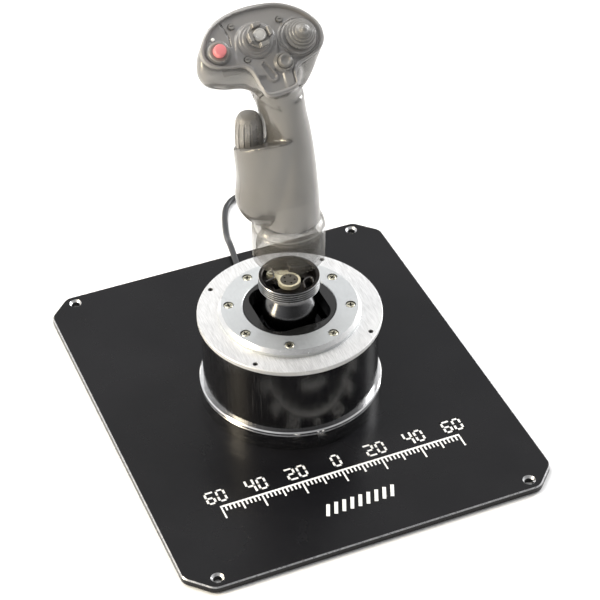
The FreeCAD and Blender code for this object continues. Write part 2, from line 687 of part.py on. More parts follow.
# height, centre y, half width left and right, half depth front and rear
HANDLE_SECTIONS = [
    (128.0, 0.0, 17.4, 17.4, 17.4, 17.4),
    (140.0, 1.0, 17.4, 18.0, 20.0, 19.5),
    (156.0, 2.2, 16.6, 17.6, 21.5, 20.5),
    (170.0, 3.5, 13.6, 16.9, 22.0, 20.5),
    (183.0, 5.0, 9.8, 16.0, 21.5, 20.0),
    (197.0, 6.5, 8.7, 14.4, 20.5, 19.5),
    (207.0, 7.8, 11.2, 12.4, 19.5, 19.1),
    (217.0, 9.0, 16.6, 10.4, 19.0, 19.5),
]
# height, half width, half depth of the thumb lobe on the left side
LOBE_SECTIONS = [
    (135.0, 8.6, 11.5),
    (139.0, 12.6, 14.4),
    (145.0, 15.6, 16.8),
    (152.0, 16.4, 17.5),
    (161.0, 15.6, 17.2),
    (171.0, 15.7, 17.3),
    (183.0, 16.4, 17.6),
]
LOBE_CENTRE = (-11.5, 6.5)


def closed_curve(points):
    """A smooth closed wire through the points."""
    curve = Part.BSplineCurve()
    curve.interpolate(Points=points, PeriodicFlag=True)
    return Part.Wire(curve.toShape())


def oval(height, centre, left, right, front, rear, inset=0.0):
    """A horizontal rounded outline with its own reach on each side."""
    points = []
    for i in range(12):
        angle = math.radians(30 * i)
        reach_x = (right if math.cos(angle) > 0 else left) - inset
        reach_y = (front if math.sin(angle) > 0 else rear) - inset
        points.append(Vector(centre[0] + reach_x * math.cos(angle),
                             centre[1] + reach_y * math.sin(angle), height))
    return closed_curve(points)


def loft(wires):
    return Part.makeLoft(wires, True, False)


def handle_form(inset, low, high):
    """The handle's form, inset evenly, between two heights."""
    body = loft([oval(z, (0, y), left, right, front, rear, inset)
                 for z, y, left, right, front, rear in HANDLE_SECTIONS])
    lobe = loft([oval(z - (inset if z > 180 else -inset), LOBE_CENTRE, wide, wide, deep, deep,
                      inset) for z, wide, deep in LOBE_SECTIONS])
    both = body.fuse(lobe)
    slab = Part.makeBox(120, 120, high - low, Vector(-60, -60, low))
    return both.common(slab)


STUB_RADIUS = 0.9
HAT_STUB = 6.2
HAT_LUG = 5.0


def lever_ears(y, z, root):
    """Two ears that hold a lever's pin, on a web that reaches back into the shell."""
    half, thick = number("lever_half") + 0.4, number("ear_thick")
    ears = []
    for side in (-1, 1):
        near = half if side > 0 else -half - thick
        ear = Part.makeBox(thick, y - root, 8, Vector(near, root, z - 4))
        ear = ear.fuse(Part.makeCylinder(4, thick, Vector(near, y, z), Vector(1, 0, 0)))
        ear = ear.cut(Part.makeCylinder(number("lever_pin"), thick + 2,
                                        Vector(near - 1, y, z), Vector(1, 0, 0)))
        ears.append(ear)
    return ears


def make_handle():
    wall = number("shell_wall")
    low, top = number("handle_bottom"), number("handle_top")
    outer = handle_form(0.0, low, top)
    inner = handle_form(wall, low + wall, top + 1)
    shell = outer.cut(inner)
    mouth = Part.makeCylinder(number("core_neck") + 0.05, 10, Vector(0, 0, low - 2))
    shell = shell.cut(mouth)
    spot = Vector(number("side_hat_x"), number("side_hat_y"), number("lobe_top"))
    for near in (HAT_LUG, -HAT_LUG - 3.2):
        lug = Part.makeBox(3.2, 3.2, 6, spot + Vector(near, -1.6, -number("hat_pivot") - 2))
        shell = shell.fuse(lug)
    shell = shell.cut(Part.makeCylinder(4.8, 12, spot - Vector(0, 0, 9)))
    shell = shell.cut(Part.makeCylinder(STUB_RADIUS + 0.04, 2 * HAT_STUB + 0.6,
                                        spot - Vector(HAT_STUB + 0.3, 0,
                                                      number("hat_pivot")), Vector(1, 0, 0)))
    head = head_form(-0.2, 0.0)
    shell = shell.cut(head)
    seam = number("seam_y")
    rear = shell.common(Part.makeBox(120, 100, 120, Vector(-60, seam - 100, low - 1)))
    front = shell.common(Part.makeBox(120, 100, 120, Vector(-60, seam + GAP / 2, low - 1)))
    blade = number("trigger_y"), number("trigger_z")
    pinky = number("pinky_y"), number("pinky_z")
    hollow = handle_form(wall * 0.5, low + wall, top + 1)
    for y, z in (blade, pinky):
        for ear in lever_ears(y, z, y - 13):
            front = front.fuse(ear.cut(hollow).cut(head))
    computed(rear, "handle_rear_shell")
    computed(front, "handle_front_shell")
    pins = []
    reach = number("lever_half") + 0.4 + number("ear_thick")
    for y, z in (blade, pinky):
        pins.append(Part.makeCylinder(number("lever_pin"), 2 * reach, Vector(-reach, y, z),
                                      Vector(1, 0, 0)))
    computed(Part.makeCompound(pins), "lever_pins")


def lever(outline, y, z):
    """A lever cut from a side outline of (y, z) points about its pin."""
    half = number("lever_half")
    curve = Part.BSplineCurve()
    curve.interpolate(Points=[Vector(-half, y + dy, z + dz) for dy, dz in outline],
                      PeriodicFlag=True)
    face = Part.Face(Part.Wire(curve.toShape()))
    solid = face.extrude(Vector(2 * half, 0, 0))
    bore = Part.makeCylinder(number("lever_pin") + 0.04, 2 * half + 2,
                             Vector(-half - 1, y, z), Vector(1, 0, 0))
    return solid.cut(bore)


def make_levers():
    y, z = number("trigger_y"), number("trigger_z")
    blade = [(-3.2, 0.5), (-2.6, -4.5), (1.2, -12.0), (2.8, -20.0), (4.6, -26.0),
             (7.6, -26.4), (7.0, -19.0), (5.2, -11.0), (4.4, -3.0), (2.4, 3.0), (-1.2, 3.4)]
    computed(lever(blade, y, z), "trigger")
    y, z = number("pinky_y"), number("pinky_z")
    paddle = [(-3.0, 0.0), (-2.4, -4.5), (-1.8, -14.0), (-2.8, -25.0), (0.6, -28.5),
              (2.2, -24.0), (2.4, -13.0), (3.4, -4.0), (2.4, 2.6), (-1.4, 3.0)]
    computed(lever(paddle, y, z), "pinky_lever")


# ---------------------------------------------------------------- head

# The face's outline on its own plane: x to the right, second value up the face.
FACE_OUTLINE = [
    (-43.5, 14.5), (-40.5, 23.0), (-33.0, 29.3), (-21.0, 34.0), (-7.0, 35.4), (6.0, 33.6),
    (16.5, 28.0), (22.6, 20.0), (23.2, 11.0), (18.0, 3.0), (11.0, -5.5), (4.0, -10.5),
    (-5.0, -10.5), (-12.5, -4.5), (-21.0, 2.6), (-32.0, 4.6), (-40.5, 8.0),
]
FACE_MIDDLE = (-9.0, 15.0)
FACE_REACH = (33.0, 22.0)
# depth below the face, how far the outline grows or shrinks there, and how far it slides
# down the face, which makes the side walls stand upright
HEAD_SECTIONS = [(0.0, 0.0, 0.0), (-3.5, 1.9, 1.6), (-10.0, 2.2, 4.4), (-18.0, 0.8, 5.6),
                 (-25.0, -4.0, 4.4), (-30.5, -12.0, 2.0)]
# height, centre x and y, half width, half depth of the neck under the face
NECK_SECTIONS = [(217.2, -3.6, 9.0, 13.4, 19.2), (225.0, -4.0, 9.2, 14.4, 20.0),
                 (233.0, -3.4, 9.6, 14.6, 21.0), (239.0, -2.0, 11.5, 14.0, 19.0)]


def face_placement():
    return Placement(Vector(0, number("face_y"), number("face_z")),
                     Rotation(Vector(1, 0, 0), number("face_lean")))


def face_wire(depth, grow, slide=0.0):
    points = []
    for x, up in FACE_OUTLINE:
        across = (x - FACE_MIDDLE[0]) * (1 + grow / FACE_REACH[0])
        along = (up - FACE_MIDDLE[1]) * (1 + grow / FACE_REACH[1])
        points.append(Vector(FACE_MIDDLE[0] + across, FACE_MIDDLE[1] + along - slide, depth))
    return closed_curve(points)


def head_form(inset, rise):
    """Head and neck joined, inset evenly; rise lifts the first section past the face."""
    sections = [(depth + inset if depth < -20 else depth, grow - inset, slide)
                for depth, grow, slide in HEAD_SECTIONS]
    sections[0] = (rise, sections[0][1], 0.0)
    head = loft([face_wire(depth, grow, slide) for depth, grow, slide in sections])
    head.Placement = face_placement()
    neck = loft([oval(z - (rise if z < 220 else inset), (x, y), wide, wide, deep, deep, inset)
                 for z, x, y, wide, deep in NECK_SECTIONS])
    return head.fuse(neck)


TRIM = (10.6, 13.4)
CASTLE = (-12.5, 17.0)
RED = (-34.7, 14.5)
LOW_BUTTON = (-1.5, 1.6)
FACE_SCREWS = [(3.3, 25.2), (-23.5, 27.0), (-20.5, 7.4)]


def make_head():
    inset = number("shell_wall")
    outer = head_form(0.0, 0.0)
    inner = head_form(inset, 1.0)
    shell = outer.cut(inner)
    computed(shell, "head_shell")

    thick = number("face_thick")
    sheet = Part.Face(face_wire(-thick - 0.2, -number("face_inset"))).extrude(
        Vector(0, 0, thick))
    rings = [(TRIM, 10.4, 8.0, 0.8), (CASTLE, 7.4, 5.6, 0.6), (RED, 5.6, 4.25, 1.2),
             (LOW_BUTTON, 4.9, 3.95, 0.6)]
    for (x, up), outer_radius, _, top in rings:
        sheet = sheet.fuse(Part.makeCylinder(outer_radius, thick + top, Vector(x, up, -thick)))
    for (x, up), _, bore, _ in rings:
        sheet = sheet.cut(Part.makeCylinder(bore, 12, Vector(x, up, -6)))
    for x, up in FACE_SCREWS:
        sheet = sheet.cut(Part.makeCylinder(1.6, 12, Vector(x, up, -6)))
    depth = number("hat_pivot")
    for x, up in (TRIM, CASTLE):
        for side in (-1, 1):
            near = x + (HAT_LUG if side > 0 else -HAT_LUG - 4.6)
            lug = Part.makeBox(4.6, 3.2, depth, Vector(near, up - 1.6, -depth - 2))
            sheet = sheet.fuse(lug)
        sheet = sheet.cut(Part.makeCylinder(STUB_RADIUS + 0.04, 2 * HAT_STUB + 0.6,
                                            Vector(x - HAT_STUB - 0.3, up, -depth),
                                            Vector(1, 0, 0)))
    computed(sheet, "face_plate", face_placement())

    screws = []
    for x, up in FACE_SCREWS:
        head = Part.makeCylinder(1.5, 1.4, Vector(x, up, -1.7))
        head = head.cut(Part.makeBox(2.2, 0.5, 1, Vector(x - 1.1, up - 0.25, -0.8)))
        screws.append(head.fuse(Part.makeCylinder(0.8, 6, Vector(x, up, -7.5))))
    computed(Part.makeCompound(screws), "face_screws", face_placement())

    board = Part.makeBox(43, 17, 1.6, Vector(-31, 5, -17.0))
    for (x, up), size in ((TRIM, 11), (CASTLE, 9)):
        block = Part.makeBox(size, size, 4.6, Vector(x - size / 2, up - size / 2, -15.5))
        board = board.fuse(block)
    for x, up in (RED, LOW_BUTTON):
        block = Part.makeBox(6, 6, 2.7, Vector(x - 3, up - 3, -15.5))
        board = board.fuse(block)
    strip = Part.makeBox(8, 10, 1.6, Vector(-5.5, -3.6, -17.0))
    computed(board.fuse(strip), "grip_board", face_placement())


def local_turned(profile, label, placement):
    body = turned(profile)
    body.Placement = placement
    return node(body, label)


def face_spot(spot):
    return face_placement().multiply(Placement(Vector(spot[0], spot[1], 0), UPRIGHT))


def hat_with_pin(form, label, placement):
    """A hat's cap and stem with the cross pin that it turns on in its rocker."""
    pin = cylinder("0.8", "7.8", 0, -3.9, "0 - hat_pivot", ALONG_Y)
    hat = node(fuse([form, pin]), label)
    hat.Placement = placement


def make_rocker(label, placement):
    """A ring round the hat's stem, with a bore for the hat's pin and two stubs across it."""
    low, high = "0 - hat_pivot - 1.4", "0 - hat_pivot + 1.4"
    ring = turned([("3.1", low), ("4.5", low), ("4.5", high), ("3.1", high)])
    length = HAT_STUB - 3.6
    stubs = [cylinder(str(STUB_RADIUS), str(length), x, 0, "0 - hat_pivot", ALONG_X)
             for x in (3.6, -HAT_STUB)]
    bore = cylinder("0.84", "12", 0, -6, "0 - hat_pivot", ALONG_Y)
    rocker = node(cut(fuse([ring] + stubs), [bore]), label)
    rocker.Placement = placement


def make_hats():
    """Each hat is a cap on a stem; its rocker is the ring that the stem turns in."""
    stem, ball = "2.4", "2.7"
    foot = "0 - hat_pivot - 2.2"
    skirt_low = "3.4"
    trim = [("0", foot), (ball, foot), (ball, "0 - hat_pivot + 2.2"), (stem, "0"),
            (stem, skirt_low), ("trim_skirt", skirt_low), ("trim_skirt", "5.2"),
            ("trim_skirt - 1.4", "6"), ("trim_skirt - 1.8", "7.2"),
            ("trim_skirt - 3.6", "7.8"), ("trim_skirt - 4", "9"), ("2", "9.6"),
            ("1.2", "trim_height"), ("0", "trim_height + 0.3")]
    hat_with_pin(turned(trim), "trim_hat", face_spot(TRIM))
    castle_body = turned([("0", foot), (ball, foot), (ball, "0 - hat_pivot + 2.2"),
                          (stem, "0"), (stem, "2.6"), ("castle_skirt - 2", "2.6"),
                          ("castle_skirt", "5.4"), ("castle_skirt", "castle_height"),
                          ("castle_skirt - 1.9", "castle_height"),
                          ("castle_skirt - 1.9", "castle_height - 2.2"),
                          ("0", "castle_height - 2.6")])
    notches = []
    for angle in (45, 135):
        notch = box("14", "2.6", "2.1", 0, 0, "castle_height - 1.9")
        notch.Placement = Placement(Vector(), Rotation(Vector(0, 0, 1), angle)).multiply(
            notch.Placement)
        notches.append(notch)
    hat_with_pin(cut(castle_body, notches), "castle_hat", face_spot(CASTLE))
    make_rocker("trim_rocker", face_spot(TRIM))
    make_rocker("castle_rocker", face_spot(CASTLE))

    spot = Placement(Vector(number("side_hat_x"), number("side_hat_y"), number("lobe_top")),
                     UPRIGHT)
    knob = turned([("0", foot), (ball, foot), (ball, "0 - hat_pivot + 2.2"), (stem, "0"),
                   (stem, "1.4"), ("side_hat_radius - 0.6", "1.4"),
                   ("side_hat_radius", "2.4"), ("side_hat_radius", "side_hat_height - 10"),
                   ("side_hat_radius - 1.6", "side_hat_height - 3.4"),
                   ("side_hat_radius - 3.6", "side_hat_height - 0.6"),
                   ("0", "side_hat_height")])
    flutes = []
    for x, y in on_circle("side_hat_radius + 0.7", 14, 0):
        flutes.append(cylinder("1.2", "side_hat_height - 9", x, y, "4.5"))
    hat_with_pin(cut(knob, flutes), "side_hat", spot)
    make_rocker("side_rocker", spot)


def make_buttons():
    local_turned([("0", "-9.5"), ("1.5", "-9.5"), ("1.5", "-2.6"), ("red_radius", "-2.6"),
                  ("red_radius", "3.9"), ("red_radius - 0.8", "4.7"), ("0", "4.9")],
                 "weapon_button", face_spot(RED))
    local_turned([("0", "-9.5"), ("1.3", "-9.5"), ("1.3", "-2.2"), ("low_radius", "-2.2"),
                  ("low_radius", "2.6"), ("low_radius - 0.7", "3.4"),
                  ("low_radius - 1.5", "3.4"), ("low_radius - 1.9", "2.9"), ("0", "2.8")],
                 "thumb_button", face_spot(LOW_BUTTON))


# ---------------------------------------------------------------- cord

# Where the cord lies between the gland and the coil, and between the coil and the plug.
LEAD_POINTS = [(2.0, 66.0, 11.0), (2.2, 71.5, 10.4), (3.3, 76.5, 8.8), (5.3, 81.0, 7.2)]
TAIL_POINTS = [
    (6.3, 86.0, 15.0), (8.2, 98.0, 13.6), (10.2, 109.0, 9.2), (11.8, 120.0, 7.3),
    (13.3, 130.5, 8.8), (15.0, 141.0, 8.4), (17.3, 152.0, 4.0), (20.6, 164.0, 2.0),
    (25.2, 178.0, 2.1), (31.0, 189.0, 2.3), (40.0, 194.3, 3.1), (50.0, 194.6, 4.0),
]
PLUG_START = Vector(50.0, 194.6, 4.0)
PLUG_AIM = Vector(11.0, -3.0, 0)


def cord_tube(points, label):
    """A round tube on straight runs joined by tangent arcs."""
    spots = [Vector(*point) for point in points]
    edges = []
    here = spots[0]
    for before, corner, after in zip(spots, spots[1:], spots[2:]):
        come = (corner - before).normalize()
        leave = (after - corner).normalize()
        half_turn = come.getAngle(leave) / 2
        shorter = min((corner - before).Length, (after - corner).Length)
        setback = 0.45 * shorter
        radius = setback / math.tan(half_turn)
        print("%s: turn %.0f deg, radius %.0f mm" % (label, math.degrees(2 * half_turn),
                                                     radius))
        start = corner - come * setback
        end = corner + leave * setback
        inward = (leave - come).normalize()
        middle = corner + inward * (radius / math.cos(half_turn) - radius)
        edges.append(Part.LineSegment(here, start).toShape())
        edges.append(Part.Arc(start, middle, end).toShape())
        here = end
    edges.append(Part.LineSegment(here, spots[-1]).toShape())
    path = Part.Wire(edges)
    circle = Part.makeCircle(number("cord_radius"), spots[0], (spots[1] - spots[0]))
    tube = path.makePipeShell([Part.Wire(circle)], True, False)
    expected = math.pi * number("cord_radius") ** 2 * path.Length
    print("%s: length %.1f mm, volume %.4f of section x length"
          % (label, path.Length, tube.Volume / expected))
    computed(tube, label)


def make_cord():
    body = turned([("1.9", "gland_root"), ("gland_radius", "gland_root"),
                   ("gland_radius", "gland_tip - 9"), ("2.8", "gland_tip"),
                   ("1.9", "gland_tip")])
    body.Placement = Placement(Vector(number("gland_x"), 0, number("gland_z")), ALONG_Y)
    node(body, "cable_gland")
    cord_tube(LEAD_POINTS, "usb_cord_lead")
    cord_tube(TAIL_POINTS, "usb_cord_tail")
    coil = turned([("coil_inner", PLATE_TOP + " + 0.02"), ("coil_outer", PLATE_TOP + " + 0.02"),
                   ("coil_outer", PLATE_TOP + " + coil_height"),
                   ("coil_inner", PLATE_TOP + " + coil_height")])
    coil.Placement = Placement(Vector(number("coil_x"), number("coil_y"), 0), UPRIGHT)
    node(coil, "usb_cord_coil")


def make_coil_tie():
    """A hook-and-loop strap round the coil's right side."""
    inner, outer = number("coil_inner"), number("coil_outer")
    low, high = number(PLATE_TOP), number(PLATE_TOP) + number("coil_height")
    thick, width = 1.0, 9.0
    near = number("coil_x") + inner - 0.8
    wide = outer - inner + 0.95
    front = number("coil_y") - width / 2
    whole = Part.makeBox(wide + 2 * thick, width, high - low + thick,
                         Vector(near - thick, front, low))
    gap = Part.makeBox(wide, width + 2, high - low + 0.1, Vector(near, front - 1, low - 0.05))
    computed(whole.cut(gap), "coil_tie")


def make_plug():
    aim = Vector(PLUG_AIM).normalize()
    turn = Rotation(Vector(1, 0, 0), aim)
    length = number("plug_length")
    relief = Part.makeCone(2.9, 3.4, 7, Vector(0, 0, 0), Vector(1, 0, 0))
    grip = Part.makeBox(length, 15.0, 7.6, Vector(6.5, -7.5, -3.8))
    grip = grip.makeFillet(2.2, [e for e in grip.Edges if abs(e.Vertexes[0].Point.x
                                                             - e.Vertexes[-1].Point.x) > 1])
    shell = Part.makeBox(12.5, 12.0, 4.5, Vector(6.0 + length, -6, -2.25))
    mouth = Part.makeBox(9.0, 11.0, 3.5, Vector(10.0 + length, -5.5, -1.75))
    tongue = Part.makeBox(8.0, 10.6, 1.5, Vector(9.5 + length, -5.3, -1.6))
    plug = relief.fuse(grip).fuse(shell).cut(mouth).fuse(tongue)
    computed(plug, "usb_plug", Placement(PLUG_START, turn))


# ---------------------------------------------------------------- build, check, write

make_base_plate(SKIRT_SCREWS + FRAME_SCREWS)
make_rubber_feet()
make_base_screws()
make_skirt()
make_bead()
make_tube()
make_top_ring()
make_retainer_disc()
make_disc_screws()
make_ring_screws()
make_gate()
make_floor()
make_frame()
make_hall_board()
make_springs()
make_gimbal()
make_hub()
make_cross()
DOC.recompute()
make_dome()
make_collar()
make_connector()
make_grip_core()
make_din_plug()
make_nut()
make_handle()
make_levers()
make_head()
make_hats()
make_buttons()
make_cord()
make_coil_tie()
make_plug()
DOC.recompute()

for thing in DOC.Objects:
    if "Invalid" in thing.State or "Error" in thing.State:
        raise RuntimeError("%s (%s) failed: %s" % (thing.Name, thing.Label, thing.State))
os.makedirs("parts", exist_ok=True)
for thing in NODES:
    shape = thing.Shape
    if shape.isNull() or not shape.isValid() or shape.Volume <= 0:
        raise RuntimeError("%s has no valid solid" % thing.Label)
for thing in NODES:
    thing.Shape.exportStep("parts/%s.step" % thing.Label)
print("%d sub-parts written" % len(NODES))
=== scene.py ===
import math

import bmesh
import bpy
import numpy as np
from mathutils import Matrix, Vector


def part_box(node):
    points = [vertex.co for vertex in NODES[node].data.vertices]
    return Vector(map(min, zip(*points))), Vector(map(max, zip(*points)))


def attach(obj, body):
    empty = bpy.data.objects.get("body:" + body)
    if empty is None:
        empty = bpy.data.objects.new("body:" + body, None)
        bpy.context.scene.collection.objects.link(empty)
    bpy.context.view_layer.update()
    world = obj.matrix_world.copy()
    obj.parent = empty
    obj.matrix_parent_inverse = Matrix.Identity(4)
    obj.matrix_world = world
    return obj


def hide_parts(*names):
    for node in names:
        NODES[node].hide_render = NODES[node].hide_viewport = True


# Flight joystick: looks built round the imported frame, in the frame's own axes: +Z up,
# +X to the pilot's right, +Y away from the pilot, z = 0 is the desk.  Shapes are written in
# millimetres and scaled by MM; camera and lights are in metres.

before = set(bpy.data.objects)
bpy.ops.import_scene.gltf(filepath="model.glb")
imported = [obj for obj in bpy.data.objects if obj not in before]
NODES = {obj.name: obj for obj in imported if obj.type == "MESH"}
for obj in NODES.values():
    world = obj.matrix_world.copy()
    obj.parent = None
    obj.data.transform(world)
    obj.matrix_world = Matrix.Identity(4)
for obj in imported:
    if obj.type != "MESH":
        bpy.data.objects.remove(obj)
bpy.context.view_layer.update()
SCENE = bpy.context.scene
MM = 0.001


# ---------------- small helpers

def span(node):
    """Lowest and highest corner of a CAD node, in millimetres."""
    low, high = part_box(node)
    return low / MM, high / MM


def new_object(name, mesh):
    thing = bpy.data.objects.new(name, mesh)
    SCENE.collection.objects.link(thing)
    return thing


def mesh_object(name, vertices, faces, material, smooth=True):
    """An object from points in millimetres."""
    mesh = bpy.data.meshes.new(name)
    mesh.from_pydata([Vector(v) * MM for v in vertices], [], faces)
    mesh.validate()
    thing = new_object(name, mesh)
    for polygon in mesh.polygons:
        polygon.use_smooth = smooth
    mesh.materials.append(material)
    return thing


def finish_piece(thing, body, slot, *replaced):
    """Ties a finished piece to its body and hides the CAD nodes it stands for; the slot is not used.
    """
    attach(thing, body)
    if replaced:
        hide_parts(*replaced)


def add_bevel(thing, width):
    bevel = thing.modifiers.new("Bevel", "BEVEL")
    bevel.width = width * MM
    bevel.segments = 2
    bevel.limit_method = "ANGLE"
    bevel.angle_limit = math.radians(35)
    return bevel


def apply_modifiers(thing):
    """Makes what the modifiers show the object's own mesh."""
    bpy.context.view_layer.update()
    graph = bpy.context.evaluated_depsgraph_get()
    mesh = bpy.data.meshes.new_from_object(thing.evaluated_get(graph))
    thing.modifiers.clear()
    thing.data = mesh


def face_outwards(thing):
    shape = bmesh.new()
    shape.from_mesh(thing.data)
    bmesh.ops.recalc_face_normals(shape, faces=shape.faces)
    shape.to_mesh(thing.data)
    shape.free()


def copy_object(source, name):
    thing = source.copy()
    thing.data = source.data.copy()
    thing.name = name
    SCENE.collection.objects.link(thing)
    return thing


# ---------------- camera, light, floor

CAMERA_PLACE = Vector((-0.33547, -0.83497, 0.83002))
CAMERA_AZIMUTH, CAMERA_ELEVATION, CAMERA_ROLL = -22.28, 40.04, -0.61
LENS, SENSOR = 120.62, 36.0
WORLD_STRENGTH, WORLD_NEAR_GREY = 0.86, 0.16
LIGHT_AIM = (0, 0, 0.14)
FLOOR_REACH = 6.0


def make_camera():
    """The camera from its place, azimuth, elevation and roll."""
    azimuth = math.radians(CAMERA_AZIMUTH)
    elevation = math.radians(CAMERA_ELEVATION)
    roll = math.radians(CAMERA_ROLL)
    back = Vector((math.sin(azimuth) * math.cos(elevation),
                   -math.cos(azimuth) * math.cos(elevation), math.sin(elevation)))
    right = Vector((math.cos(azimuth), math.sin(azimuth), 0))
    up = back.cross(right)
    tilted_right = right * math.cos(roll) + up * math.sin(roll)
    tilted_up = up * math.cos(roll) - right * math.sin(roll)
    data = bpy.data.cameras.new("camera")
    data.lens = LENS
    data.sensor_width = SENSOR
    data.clip_start = 0.05
    camera = new_object("camera", data)
    turn = Matrix((tilted_right, tilted_up, back)).transposed().to_4x4()
    camera.matrix_world = Matrix.Translation(CAMERA_PLACE) @ turn
    SCENE.camera = camera


def area_light(name, place, target, size, power, size_y=None):
    data = bpy.data.lights.new(name, "AREA")
    data.energy = power
    data.size = size
    if size_y:
        data.shape = "RECTANGLE"
        data.size_y = size_y
    light = new_object(name, data)
    aim = (Vector(target) - Vector(place)).to_track_quat("-Z", "Y")
    light.matrix_world = Matrix.Translation(place) @ aim.to_matrix().to_4x4()
    return data


def make_world():
    """A soft white surround that darkens towards the pilot's side."""
    world = bpy.data.worlds.new("studio")
    world.use_nodes = True
    tree = world.node_tree
    background = tree.nodes["Background"]
    background.inputs["Strength"].default_value = WORLD_STRENGTH
    way = tree.nodes.new("ShaderNodeTexCoord")
    split = tree.nodes.new("ShaderNodeSeparateXYZ")
    ramp = tree.nodes.new("ShaderNodeValToRGB")
    ramp.color_ramp.elements[0].color = (WORLD_NEAR_GREY, WORLD_NEAR_GREY, WORLD_NEAR_GREY, 1)
    ramp.color_ramp.elements[0].position = 0.0
    ramp.color_ramp.elements[1].position = 0.45
    shift = tree.nodes.new("ShaderNodeMapRange")
    shift.inputs["From Min"].default_value = -1
    tree.links.new(way.outputs["Generated"], split.inputs["Vector"])
    tree.links.new(split.outputs["Y"], shift.inputs["Value"])
    tree.links.new(shift.outputs["Result"], ramp.inputs["Fac"])
    tree.links.new(ramp.outputs["Color"], background.inputs["Color"])
    SCENE.world = world


def make_studio():
    """Key light, a warm strip at the left, a white one at the right, and the floor."""
    area_light("key", (-0.35, 0.45, 1.3), (0, 0, 0.08), 0.9, 10)
    left = area_light("left_strip", (-1.0, 0.05, 0.45), LIGHT_AIM, 0.3, 13, 1.0)
    left.color = (1.0, 0.87, 0.64)
    area_light("right_strip", (0.95, 0.25, 0.6), LIGHT_AIM, 0.3, 10, 1.0)
    SCENE.view_settings.view_transform = "Standard"
    SCENE.view_settings.look = "None"
    # the see-through grip puts many faces behind each other
    SCENE.cycles.transparent_max_bounces = 32

    floor_look = MaterialKit("floor_white")
    floor_look.set(Base_Color=(0.93, 0.93, 0.93), Roughness=0.9)
    mesh = bpy.data.meshes.new("floor")
    corners = [(x * FLOOR_REACH, y * FLOOR_REACH, 0) for x, y in ((-1, -1), (1, -1), (1, 1), (-1, 1))]
    mesh.from_pydata(corners, [], [(0, 1, 2, 3)])
    mesh.materials.append(floor_look.material)
    new_object("floor", mesh)


# ---------------- material building

class MaterialKit:
    """A material with its Principled shader and short calls that wire nodes to it."""

    def __init__(self, name):
        self.material = bpy.data.materials.new(name)
        self.material.use_nodes = True
        self.tree = self.material.node_tree
        self.shader = self.tree.nodes["Principled BSDF"]

    def node(self, kind):
        return self.tree.nodes.new(kind)

    def link(self, source, target):
        self.tree.links.new(source, target)

    def place(self, scale=(1, 1, 1), turn=(0, 0, 0)):
        """Object coordinates, scaled and turned."""
        coordinates = self.node("ShaderNodeTexCoord")
        mapping = self.node("ShaderNodeMapping")
        mapping.inputs["Scale"].default_value = scale
        mapping.inputs["Rotation"].default_value = turn
        self.link(coordinates.outputs["Object"], mapping.inputs["Vector"])
        return mapping.outputs["Vector"]

    def noise(self, scale, detail, roughness=0.55, vector=None):
        noise = self.node("ShaderNodeTexNoise")
        noise.inputs["Scale"].default_value = scale
        noise.inputs["Detail"].default_value = detail
        noise.inputs["Roughness"].default_value = roughness
        self.link(vector or self.place(), noise.inputs["Vector"])
        return noise.outputs["Fac"]

    def ramp(self, factor, stops):
        """A colour ramp over two stops; a stop is (position, grey or colour)."""
        ramp = self.node("ShaderNodeValToRGB")
        for element, (position, value) in zip(ramp.color_ramp.elements, stops):
            element.position = position
            colour = value if isinstance(value, tuple) else (value, value, value)
            element.color = (*colour, 1)
        self.link(factor, ramp.inputs["Fac"])
        return ramp.outputs["Color"]

    def bump(self, height, strength, distance):
        bump = self.node("ShaderNodeBump")
        bump.inputs["Strength"].default_value = strength
        bump.inputs["Distance"].default_value = distance
        self.link(height, bump.inputs["Height"])
        self.link(bump.outputs["Normal"], self.shader.inputs["Normal"])

    def set(self, **values):
        """Uniform values of the shader's sockets, by name."""
        for name, value in values.items():
            socket = self.shader.inputs[name.replace("_", " ")]
            socket.default_value = (*value, 1) if isinstance(value, tuple) else value

    def color(self, factor, low, high, start=0.3, end=0.7):
        self.link(self.ramp(factor, [(start, low), (end, high)]),
                  self.shader.inputs["Base Color"])

    def roughness(self, factor, low, high):
        self.link(self.ramp(factor, [(0.3, low), (0.7, high)]), self.shader.inputs["Roughness"])


def plate_enamel():
    """Satin black enamel with a very fine orange peel."""
    kit = MaterialKit("plate_enamel")
    kit.color(kit.noise(9, 5), (0.004, 0.004, 0.005), (0.008, 0.008, 0.0095))
    kit.roughness(kit.noise(30, 6), 0.22, 0.30)
    kit.set(Specular_IOR_Level=0.22)
    kit.bump(kit.noise(1400, 3), 0.10, 0.00005)
    return kit.material


def bright_edge():
    """Bare milled metal of the plate's edge."""
    kit = MaterialKit("bright_edge")
    kit.set(Metallic=1.0)
    kit.color(kit.noise(700, 4), (0.50, 0.50, 0.51), (0.78, 0.78, 0.79))
    kit.roughness(kit.noise(300, 4), 0.22, 0.38)
    return kit.material


def gloss_black():
    """Gloss black tube; its fine drawn lines run upright and break up reflections."""
    kit = MaterialKit("gloss_black")
    drawn = kit.noise(1100, 6, 0.62, kit.place((1, 1, 0.03)))
    kit.color(drawn, (0.006, 0.006, 0.007), (0.06, 0.06, 0.065), 0.58, 0.8)
    kit.roughness(drawn, 0.08, 0.2)
    kit.set(Specular_IOR_Level=0.9, Coat_Weight=0.3, Coat_Roughness=0.1)
    kit.bump(drawn, 0.6, 0.0002)
    return kit.material


def metal(name, low, high, smooth, rough, scale=260, stretch=(1, 1, 1), turn=(0, 0, 0),
          strength=0.1, distance=0.0001, detail=6):
    """Bare metal; one grain drives its colour, its roughness and its bump."""
    kit = MaterialKit(name)
    kit.set(Metallic=1.0)
    grain = kit.noise(scale, detail, 0.6, kit.place(stretch, turn))
    kit.color(grain, low, high)
    kit.roughness(grain, smooth, rough)
    kit.bump(grain, strength, distance)
    return kit.material


